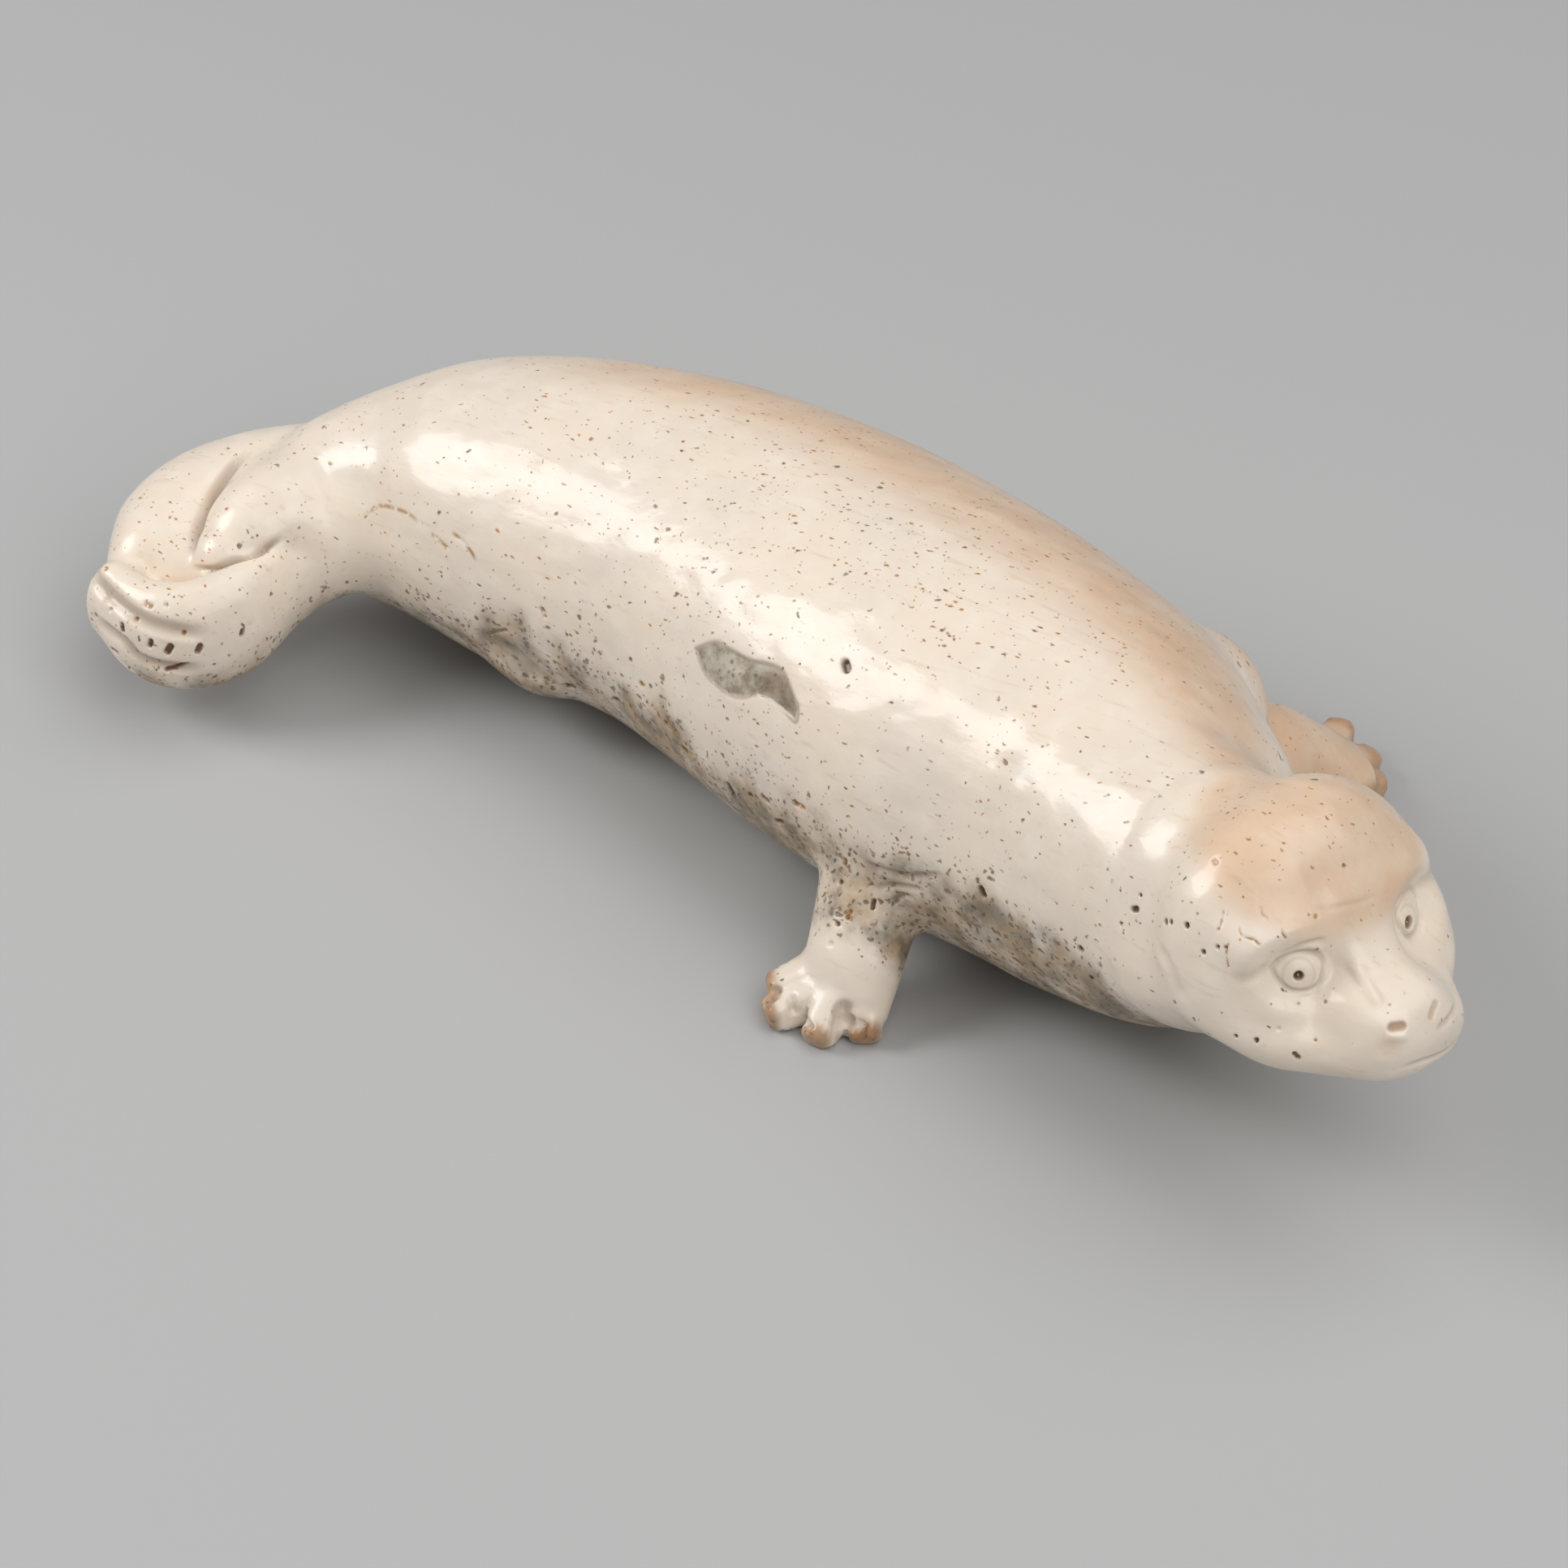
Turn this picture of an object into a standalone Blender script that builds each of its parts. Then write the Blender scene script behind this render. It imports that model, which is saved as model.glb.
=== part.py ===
"""A seal carved from one piece of whalebone, lying on its belly with its head turned to its right.

+X runs from the hind flippers to the head, +Y to the seal's left and +Z up. The origin is in the middle
of the carving's footprint, on the surface that it lies on. The carving is one solid: rounded masses
melted into each other, with the eye sockets scooped out and the underside rubbed flat. Sizes are in
millimetres, and the last step turns them into metres.
"""

import math

import bmesh
import bpy
import numpy as np

MILLIMETRE = 0.001

# The head's own directions, and the point midway between the eyes.
HEAD_TURN = math.radians(-16.0)
FORWARD = np.array([math.cos(HEAD_TURN), math.sin(HEAD_TURN), 0.0])
LEFTWARD = np.array([-math.sin(HEAD_TURN), math.cos(HEAD_TURN), 0.0])
UPWARD = np.array([0.0, 0.0, 1.0])
BETWEEN_EYES = np.array([100.0, -18.0, 41.0])
EYE_SPREAD = 9.6                        # from the middle of the face to an eye
GAZE = (0.76, 0.51, 0.41)               # forward, outward and up: the way that an eye looks
SOCKET = (3.9, 5.2, 4.2)                # half-sizes along the gaze, towards the nose and up
EYEBALL = (2.6, 4.3, 3.6)
EYEBALL_DEPTH = 1.5                     # from the skin to the eyeball's middle
LEFT_EYE_DROP = 0.6                     # how much lower the left eye sits

# The middle of the footprint, where the origin goes.
MIDDLE = np.array([4.2, 14.3, 0.0])

# Sections: x, y, z of the middle, half-width, half-height.
TRUNK = (
    (-86.5, 1.5, 21.8, 8.5, 8.5),
    (-81.0, 7.4, 22.2, 12.4, 12.6),
    (-73.3, 13.0, 22.5, 16.2, 16.5),
    (-63.0, 17.0, 23.5, 20.4, 20.4),
    (-51.9, 19.6, 24.0, 23.3, 22.6),
    (-39.2, 21.3, 24.5, 25.2, 23.8),
    (-24.8, 21.6, 25.0, 26.8, 24.9),
    (-8.3, 19.0, 25.5, 28.6, 26.4),
    (8.0, 14.8, 26.0, 30.0, 27.0),
    (25.0, 10.3, 26.5, 29.8, 27.2),
    (43.5, 5.2, 27.0, 27.7, 26.1),
    (57.0, -1.8, 28.5, 23.6, 24.4),
    (67.0, -8.4, 31.0, 18.8, 21.5),
    (77.0, -13.0, 34.5, 15.8, 18.0),
)
TAIL_LOBE = (
    (-78.0, 8.0, 23.4, 9.0, 8.8),
    (-81.4, 3.2, 23.6, 9.0, 8.8),
    (-83.8, -3.0, 23.0, 8.9, 8.5),
    (-85.2, -8.2, 22.0, 7.4, 7.3),
    (-85.6, -12.0, 21.2, 5.2, 5.6),
)
LEFT_HIND_FLIPPER = (
    (-76.0, 14.3, 22.5, 10.0, 10.8),
    (-86.0, 10.0, 21.5, 9.0, 8.8),
    (-91.8, 5.4, 21.0, 9.2, 8.4),
    (-96.2, -0.4, 20.2, 9.4, 8.1),
    (-97.6, -6.0, 19.3, 9.2, 8.2),
    (-97.2, -11.7, 18.4, 8.6, 8.0),
    (-97.2, -16.5, 17.4, 6.4, 7.0),
    (-97.2, -20.0, 16.8, 4.2, 5.4),
)
RIGHT_HIND_FLIPPER = (
    (-76.0, 8.0, 20.5, 8.0, 7.8),
    (-77.2, 1.0, 19.4, 5.8, 7.2),
    (-79.2, -8.0, 17.6, 4.8, 7.4),
    (-80.6, -17.0, 15.9, 5.2, 8.7),
    (-84.4, -23.0, 15.2, 5.3, 8.6),
    (-90.2, -24.9, 15.2, 4.9, 8.1),
    (-97.2, -23.5, 16.2, 4.0, 6.9),
)
RIGHT_LEG = (
    (27.0, -2.0, 25.0, 11.0, 10.0),
    (26.4, -12.0, 17.0, 8.9, 7.5),
    (27.2, -18.5, 11.8, 7.3, 6.0),
    (28.2, -23.0, 7.5, 7.0, 5.2),
    (28.0, -26.0, 3.8, 7.6, 4.0),
)
LEFT_LEG = (
    (45.0, 18.0, 25.0, 14.0, 13.0),
    (51.8, 28.6, 15.8, 10.2, 9.0),
    (53.5, 41.0, 12.0, 8.4, 7.8),
    (56.0, 48.0, 8.0, 7.6, 6.0),
    (58.0, 53.0, 4.4, 8.4, 4.8),
)
# Each toe: the middle of its root, then of its tip.
RIGHT_TOES = (
    ((24.5, -24.5, 5.0), (20.8, -28.4, 3.5)),
    ((26.0, -26.0, 4.1), (22.4, -31.6, 2.2)),
    ((28.6, -27.0, 4.1), (28.8, -31.5, 1.9)),
    ((31.2, -24.5, 4.1), (33.3, -27.8, 2.2)),
)
LEFT_TOES = (
    ((56.0, 54.0, 4.4), (54.5, 61.0, 3.2)),
    ((58.5, 53.0, 4.4), (60.0, 58.6, 2.4)),
    ((60.0, 51.0, 4.4), (63.2, 54.8, 2.2)),
    ((59.5, 48.5, 4.4), (63.4, 49.5, 2.6)),
)
TOE_ROOT = (2.9, 3.4)                   # half-width and half-height
TOE_TIP = (2.3, 2.6)

# How finely the solid is worked.
ROUGHING = 1.6
FINISHING = 1.3
FACETS = 9400
FLAT_WITHIN = 0.12


def on_head(forward, left, up):
    """A place on the head, from midway between the eyes."""
    return BETWEEN_EYES + forward * FORWARD + left * LEFTWARD + up * UPWARD


def unit(vector):
    return vector / np.linalg.norm(vector)


def smooth_min(a, b, melt):
    closeness = np.maximum(melt - np.abs(a - b), 0.0) / melt
    return np.minimum(a, b) - closeness**2 * melt / 4


def smooth_max(a, b, melt):
    return -smooth_min(-a, -b, melt)


def smooth_rows(rows, count):
    """Rows on a smooth curve through the given ones (Catmull-Rom)."""
    knots = np.asarray(rows, float)
    knots = np.vstack([2 * knots[0] - knots[1], knots, 2 * knots[-1] - knots[-2]])
    along = np.linspace(0, len(knots) - 3, count)
    first = np.minimum(along.astype(int), len(knots) - 4)
    t = (along - first)[:, None]
    a, b, c, d = (knots[first + step] for step in range(4))
    bend = 2 * a - 5 * b + 4 * c - d
    return (2 * b + (c - a) * t + bend * t**2 + (3 * b - a - 3 * c + d) * t**3) / 2


def distance_in(offset, radii, power):
    """Distance outside a rounded shape whose half-sizes are the radii; below zero inside it."""
    reach = np.abs(offset) / radii
    size = (reach**power).sum(1) ** (1 / power) + 1e-9
    slope = np.sqrt(((reach ** (power - 1) / radii) ** 2).sum(1)) * size ** (1 - power) + 1e-9
    return (size - 1) / slope


class Egg:
    """An egg, with its axes along the head's own unless they are given. A higher power squares it up."""

    def __init__(self, centre, radii, melt=4.0, power=2.0, axes=(FORWARD, LEFTWARD, UPWARD)):
        self.centre = np.asarray(centre, float)
        self.radii = np.asarray(radii, float)
        self.melt = melt
        self.power = power
        self.axes = np.array(axes)

    def distance(self, points):
        return distance_in((points - self.centre) @ self.axes.T, self.radii, self.power)

    def block_out(self, mesh):
        for vert in bmesh.ops.create_icosphere(mesh, subdivisions=3, radius=1.0)["verts"]:
            vert.co = (self.centre + (np.array(vert.co) * self.radii) @ self.axes).tolist()


class Limb:
    """A body swept through sections, with round ends."""

    RING = 16
    ROWS_A_SECTION = 14

    def __init__(self, sections, melt, power=2.0, sideways=None):
        rows = smooth_rows(sections, self.ROWS_A_SECTION * len(sections))
        self.middle = rows[:, :3]
        self.half = rows[:, 3:]
        heading = np.gradient(self.middle, axis=0)
        self.heading = heading / np.linalg.norm(heading, axis=1)[:, None]
        if sideways is None:
            side = np.cross(UPWARD, self.heading)
        else:
            side = sideways - (self.heading @ sideways)[:, None] * self.heading
        self.side = side / np.linalg.norm(side, axis=1)[:, None]
        self.top = np.cross(self.heading, self.side)
        self.melt = melt
        self.power = power
        reach = self.half.max(1)[:, None]
        self.low = (self.middle - reach).min(0)
        self.high = (self.middle + reach).max(0)

    def distance(self, points):
        beyond = np.maximum(np.maximum(self.low - points, points - self.high), 0)
        out = np.linalg.norm(beyond, axis=1) + self.melt
        near = np.flatnonzero(out < 3 * self.melt + 6)
        for part in np.array_split(near, max(1, len(near) // 20000)):
            if len(part):
                out[part] = self.near_distance(points[part])
        return out

    def near_distance(self, points):
        squares = (self.middle**2).sum(1) - 2 * points @ self.middle.T
        row = squares.argmin(1)
        along = ((points - self.middle[row]) * self.heading[row]).sum(1)
        onward = np.sign(along)
        other = np.clip(row + onward.astype(int), 0, len(self.middle) - 1)
        left = -onward * ((points - self.middle[other]) * self.heading[other]).sum(1)
        share = np.abs(along) / np.maximum(np.abs(along) + np.maximum(left, 0), 1e-6)
        share = np.where(other == row, 0.0, share)[:, None]

        def between(values):
            return values[row] * (1 - share) + values[other] * share

        offset = points - between(self.middle)
        half = between(self.half)
        local = np.stack([(offset * between(way)).sum(1) for way in (self.side, self.top, self.heading)], 1)
        return distance_in(local, np.column_stack([half, half.min(1)]), self.power)

    def block_out(self, mesh):
        rings = []
        turns = np.linspace(0, 2 * math.pi, self.RING, endpoint=False)[:, None]
        for row in range(0, len(self.middle), 3):
            across = self.side[row] * self.half[row, 0] * np.cos(turns)
            upright = self.top[row] * self.half[row, 1] * np.sin(turns)
            ring = self.middle[row] + across + upright
            rings.append([mesh.verts.new(point) for point in ring.tolist()])
        for ring, following in zip(rings, rings[1:]):
            for corner in range(self.RING):
                ahead = (corner + 1) % self.RING
                mesh.faces.new((ring[corner], ring[ahead], following[ahead], following[corner]))
        mesh.faces.new(rings[0][::-1])
        mesh.faces.new(rings[-1])
        for end in (0, -1):
            axes = np.array([self.side[end] * self.half[end, 0], self.top[end] * self.half[end, 1],
                             self.heading[end] * self.half[end].min()])
            for vert in bmesh.ops.create_icosphere(mesh, subdivisions=2, radius=1.0)["verts"]:
                vert.co = (self.middle[end] + np.array(vert.co) @ axes).tolist()


class Carving:
    """Masses melted together, less the scoops, with the swellings in them, and flat where it lies."""

    SCOOP_RIM = 2.5

    def __init__(self, masses, scoops, swellings):
        self.masses = masses
        self.scoops = scoops
        self.swellings = swellings

    def distance(self, points):
        out = self.masses[0].distance(points)
        for mass in self.masses[1:]:
            out = smooth_min(out, mass.distance(points), mass.melt)
        for scoop in self.scoops:
            out = smooth_max(out, -scoop.distance(points), self.SCOOP_RIM)
        for swelling in self.swellings:
            out = smooth_min(out, swelling.distance(points), swelling.melt)
        return np.maximum(out, -points[:, 2])

    def settle(self, points, steps, longest_step=1.5, probe=0.05):
        """Moves each point to the surface, along the steepest way."""
        for _ in range(steps):
            slope = np.empty_like(points)
            for axis in range(3):
                shift = np.zeros(3)
                shift[axis] = probe
                slope[:, axis] = self.distance(points + shift) - self.distance(points - shift)
            slope /= 2 * probe
            steepness = np.maximum((slope**2).sum(1), 0.05)
            move = -(self.distance(points) / steepness)[:, None] * slope
            length = np.maximum(np.linalg.norm(move, axis=1), 1e-9)[:, None]
            points = points + move * np.minimum(1.0, longest_step / length)
        return points


def toes(pairs):
    return [Limb(((*root, *TOE_ROOT), (*tip, *TOE_TIP)), melt=0.5, power=3.6) for root, tip in pairs]


def hind_end():
    return [
        Limb(TAIL_LOBE, melt=1.2),
        Limb(LEFT_HIND_FLIPPER, melt=1.2),
        Limb(RIGHT_HIND_FLIPPER, melt=1.2),
        Egg((-91.0, -6.0, 14.5), (10.0, 13.0, 7.5), melt=3.0),
        Egg((-91.5, -10.5, 19.0), (7.0, 8.5, 6.0), melt=2.0),
        Egg((-75.5, 2.0, 21.0), (7.0, 6.5, 7.2), melt=4.0),
        Egg((-43.0, 2.2, 12.2), (7.0, 3.4, 3.5), melt=4.0),
    ]


def fore_limbs():
    neck = Egg((63.5, 6.0, 30.0), (13.0, 13.0, 13.0), melt=3.0)
    shoulder = Egg((47.6, 24.0, 25.6), (12.4, 15.3, 14.4), melt=2.5)
    right_leg = Limb(RIGHT_LEG, melt=2.4, sideways=np.array([1.0, 0.0, 0.0]))
    left_leg = Limb(LEFT_LEG, melt=3.5, sideways=FORWARD)
    return [right_leg, *toes(RIGHT_TOES), neck, shoulder, left_leg, *toes(LEFT_TOES)]


def nodding(angle):
    """The head's directions, with the nose turned down by this many degrees."""
    turn = math.radians(angle)
    forward = math.cos(turn) * FORWARD - math.sin(turn) * UPWARD
    return forward, LEFTWARD, math.cos(turn) * UPWARD + math.sin(turn) * FORWARD


def brow():
    """The ridge over both eyes, from cheek to cheek."""
    half = ((14.0, -5.2, 3.2, 2.2, 2.0), (10.0, -2.4, 4.3, 2.0, 1.8), (5.0, -2.0, 4.4, 1.8, 2.0))
    right = [(*on_head(forward, -side, up), *size) for side, forward, up, *size in half]
    left = [(*on_head(forward, side, up), *size) for side, forward, up, *size in reversed(half)]
    return Limb([*right, (*on_head(-1.8, 0.0, 4.4), 1.8, 2.2), *left], melt=4.0)


def head():
    bridge = [(*on_head(-3.0, 0.0, 0.2), 5.4, 4.8), (*on_head(1.4, 0.0, -1.5), 4.3, 4.2),
              (*on_head(5.6, 0.0, -3.4), 3.9, 3.6), (*on_head(9.6, 0.0, -5.0), 4.5, 3.0)]
    return [
        Egg(on_head(-12.2, 0.2, -1.4), (13.4, 18.9, 16.0), melt=3.0, power=2.1),
        Egg(on_head(-12.0, 0.0, -6.0), (11.5, 18.3, 12.1), melt=4.0),
        Egg(on_head(-4.2, 0.5, -7.7), (12.8, 18.4, 6.7), melt=5.0, power=2.2, axes=nodding(18.0)),
        Egg(on_head(5.1, 0.6, -9.4), (9.8, 10.2, 5.4), melt=4.0, power=2.4),
        Limb(bridge, melt=4.2, power=3.2, sideways=LEFTWARD),
        Egg(on_head(5.2, -5.4, -4.8), (5.0, 2.8, 3.0), melt=3.0),
        Egg(on_head(8.2, 0.0, -7.0), (5.4, 7.0, 4.2), melt=3.0),
        Egg(on_head(-5.2, -11.2, -3.0), (6.4, 5.4, 6.0), melt=4.0),
        Egg(on_head(-4.8, 12.2, -4.4), (6.4, 5.6, 6.2), melt=4.0),
        brow(),
        Egg(on_head(-21.0, -5.0, -10.6), (11.0, 13.0, 9.4), melt=4.0),
    ]


def eye(side):
    """One eye's socket and eyeball: side is -1 on the seal's right and 1 on its left."""
    forward, outward, up = GAZE
    centre = on_head(0.0, side * EYE_SPREAD, -LEFT_EYE_DROP if side > 0 else 0.0)
    gaze = unit(forward * FORWARD + side * outward * LEFTWARD + up * UPWARD)
    above = unit(UPWARD - (UPWARD @ gaze) * gaze)
    axes = (gaze, side * np.cross(gaze, above), above)
    socket = Egg(centre + SOCKET[0] * gaze, SOCKET, axes=axes)
    return socket, Egg(centre - EYEBALL_DEPTH * gaze, EYEBALL, melt=0.8, axes=axes)


def apply_modifier(obj, kind, **settings):
    bpy.context.view_layer.objects.active = obj
    modifier = obj.modifiers.new(kind.title(), kind)
    for name, value in settings.items():
        setattr(modifier, name, value)
    bpy.ops.object.modifier_apply(modifier=modifier.name)


def points_of(obj):
    flat = np.empty(3 * len(obj.data.vertices))
    obj.data.vertices.foreach_get("co", flat)
    return flat.reshape(-1, 3)


def set_points(obj, points):
    obj.data.vertices.foreach_set("co", points.ravel())
    obj.data.update()


def even_out(obj, points):
    """Moves each point half-way to the middle of its neighbours."""
    ends = np.empty(2 * len(obj.data.edges), np.int32)
    obj.data.edges.foreach_get("vertices", ends)
    ends = np.vstack([ends.reshape(-1, 2), ends.reshape(-1, 2)[:, ::-1]])
    total = np.zeros_like(points)
    count = np.zeros(len(points))
    np.add.at(total, ends[:, 0], points[ends[:, 1]])
    np.add.at(count, ends[:, 0], 1)
    return (points + total / count[:, None]) / 2


def carve(name, carving):
    """One closed solid of the carving, in millimetres."""
    block = bmesh.new()
    for mass in carving.masses:
        mass.block_out(block)
    bmesh.ops.recalc_face_normals(block, faces=block.faces)
    mesh = bpy.data.meshes.new(name)
    block.to_mesh(mesh)
    block.free()
    solid = bpy.data.objects.new(name, mesh)
    bpy.context.scene.collection.objects.link(solid)
    for grain in (ROUGHING, FINISHING):
        apply_modifier(solid, "REMESH", mode="VOXEL", voxel_size=grain)
        for _ in range(2):
            points = carving.settle(points_of(solid), steps=2)
            set_points(solid, even_out(solid, points))
        set_points(solid, carving.settle(points_of(solid), steps=2))
    apply_modifier(solid, "TRIANGULATE")
    apply_modifier(solid, "DECIMATE", ratio=FACETS / len(solid.data.polygons))
    points = points_of(solid)
    points[np.abs(points[:, 2]) < FLAT_WITHIN, 2] = 0.0
    set_points(solid, (points - MIDDLE) * MILLIMETRE)
    return solid


def whalebone():
    material = bpy.data.materials.new("whalebone")
    material.use_nodes = True
    shader = material.node_tree.nodes["Principled BSDF"]
    shader.inputs["Base Color"].default_value = (0.78, 0.69, 0.55, 1.0)
    shader.inputs["Roughness"].default_value = 0.28
    shader.inputs["Metallic"].default_value = 0.0
    return material


def main():
    for obj in list(bpy.data.objects):
        bpy.data.objects.remove(obj, do_unlink=True)
    masses = [Limb(TRUNK, melt=3.0), *hind_end(), *fore_limbs(), *head()]
    sockets, eyeballs = zip(eye(-1), eye(1))
    seal = carve("seal", Carving(masses, sockets, eyeballs))
    seal.data.materials.append(whalebone())
    seal.data.shade_smooth()


main()
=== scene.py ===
"""The finish of a seal carved from whalebone: face, flippers and tool marks, pores, stains and varnish.

The carving is worked as it is in part.py: rounded masses melted into each other, hollowed at the eyes
and rubbed flat below, in millimetres, here with the fine cuts too. The last step turns it into metres.
"""

import math

import bpy
import numpy as np
from mathutils import Matrix, Vector


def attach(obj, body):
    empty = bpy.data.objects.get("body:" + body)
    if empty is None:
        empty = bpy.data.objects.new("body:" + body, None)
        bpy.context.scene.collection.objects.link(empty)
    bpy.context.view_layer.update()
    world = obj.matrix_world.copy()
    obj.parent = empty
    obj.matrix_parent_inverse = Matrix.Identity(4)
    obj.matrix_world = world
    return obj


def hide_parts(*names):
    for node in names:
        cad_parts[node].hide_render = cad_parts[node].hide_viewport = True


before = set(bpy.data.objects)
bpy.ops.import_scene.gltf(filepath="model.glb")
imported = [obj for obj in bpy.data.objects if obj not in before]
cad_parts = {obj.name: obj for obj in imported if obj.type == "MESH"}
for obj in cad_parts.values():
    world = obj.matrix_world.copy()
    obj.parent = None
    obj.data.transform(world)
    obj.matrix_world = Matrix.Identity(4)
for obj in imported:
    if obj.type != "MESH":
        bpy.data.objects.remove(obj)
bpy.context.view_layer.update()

MILLIMETRE = 0.001

# The head's own directions, and the point midway between the eyes.
HEAD_TURN = math.radians(-16.0)
FORWARD = np.array([math.cos(HEAD_TURN), math.sin(HEAD_TURN), 0.0])
LEFTWARD = np.array([-math.sin(HEAD_TURN), math.cos(HEAD_TURN), 0.0])
UPWARD = np.array([0.0, 0.0, 1.0])
BETWEEN_EYES = np.array([100.0, -18.0, 41.0])
EYE_SPREAD = 9.6                        # from the middle of the face to an eye
GAZE = (0.76, 0.51, 0.41)               # forward, outward and up: the way that an eye looks
SOCKET = (3.9, 5.2, 4.2)                # half-sizes along the gaze, towards the nose and up
EYEBALL = (2.6, 4.3, 3.6)
EYEBALL_DEPTH = 1.5                     # from the skin to the eyeball's middle
LEFT_EYE_DROP = 0.6                     # how much lower the left eye sits

# The middle of the footprint, where the origin goes.
MIDDLE = np.array([4.2, 14.3, 0.0])

# Sections: x, y, z of the middle, half-width, half-height.
TRUNK = (
    (-86.5, 1.5, 21.8, 8.5, 8.5),
    (-81.0, 7.4, 22.2, 12.4, 12.6),
    (-73.3, 13.0, 22.5, 16.2, 16.5),
    (-63.0, 17.0, 23.5, 20.4, 20.4),
    (-51.9, 19.6, 24.0, 23.3, 22.6),
    (-39.2, 21.3, 24.5, 25.2, 23.8),
    (-24.8, 21.6, 25.0, 26.8, 24.9),
    (-8.3, 19.0, 25.5, 28.6, 26.4),
    (8.0, 14.8, 26.0, 30.0, 27.0),
    (25.0, 10.3, 26.5, 29.8, 27.2),
    (43.5, 5.2, 27.0, 27.7, 26.1),
    (57.0, -1.8, 28.5, 23.6, 24.4),
    (67.0, -8.4, 31.0, 18.8, 21.5),
    (77.0, -13.0, 34.5, 15.8, 18.0),
)
TAIL_LOBE = (
    (-78.0, 8.0, 23.4, 9.0, 8.8),
    (-81.4, 3.2, 23.6, 9.0, 8.8),
    (-83.8, -3.0, 23.0, 8.9, 8.5),
    (-85.2, -8.2, 22.0, 7.4, 7.3),
    (-85.6, -12.0, 21.2, 5.2, 5.6),
)
LEFT_HIND_FLIPPER = (
    (-76.0, 14.3, 22.5, 10.0, 10.8),
    (-86.0, 10.0, 21.5, 9.0, 8.8),
    (-91.8, 5.4, 21.0, 9.2, 8.4),
    (-96.2, -0.4, 20.2, 9.4, 8.1),
    (-97.6, -6.0, 19.3, 9.2, 8.2),
    (-97.2, -11.7, 18.4, 8.6, 8.0),
    (-97.2, -16.5, 17.4, 6.4, 7.0),
    (-97.2, -20.0, 16.8, 4.2, 5.4),
)
RIGHT_HIND_FLIPPER = (
    (-76.0, 8.0, 20.5, 8.0, 7.8),
    (-77.2, 1.0, 19.4, 5.8, 7.2),
    (-79.2, -8.0, 17.6, 4.8, 7.4),
    (-80.6, -17.0, 15.9, 5.2, 8.7),
    (-84.4, -23.0, 15.2, 5.3, 8.6),
    (-90.2, -24.9, 15.2, 4.9, 8.1),
    (-97.2, -23.5, 16.2, 4.0, 6.9),
)
RIGHT_LEG = (
    (27.0, -2.0, 25.0, 11.0, 10.0),
    (26.4, -12.0, 17.0, 8.9, 7.5),
    (27.2, -18.5, 11.8, 7.3, 6.0),
    (28.2, -23.0, 7.5, 7.0, 5.2),
    (28.0, -26.0, 3.8, 7.6, 4.0),
)
LEFT_LEG = (
    (45.0, 18.0, 25.0, 14.0, 13.0),
    (51.8, 28.6, 15.8, 10.2, 9.0),
    (53.5, 41.0, 12.0, 8.4, 7.8),
    (56.0, 48.0, 8.0, 7.6, 6.0),
    (58.0, 53.0, 4.4, 8.4, 4.8),
)
# Each toe: the middle of its root, then of its tip.
RIGHT_TOES = (
    ((24.5, -24.5, 5.0), (20.8, -28.4, 3.5)),
    ((26.0, -26.0, 4.1), (22.4, -31.6, 2.2)),
    ((28.6, -27.0, 4.1), (28.8, -31.5, 1.9)),
    ((31.2, -24.5, 4.1), (33.3, -27.8, 2.2)),
)
LEFT_TOES = (
    ((56.0, 54.0, 4.4), (54.5, 61.0, 3.2)),
    ((58.5, 53.0, 4.4), (60.0, 58.6, 2.4)),
    ((60.0, 51.0, 4.4), (63.2, 54.8, 2.2)),
    ((59.5, 48.5, 4.4), (63.4, 49.5, 2.6)),
)
TOE_ROOT = (2.9, 3.4)                   # half-width and half-height
TOE_TIP = (2.3, 2.6)

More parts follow.
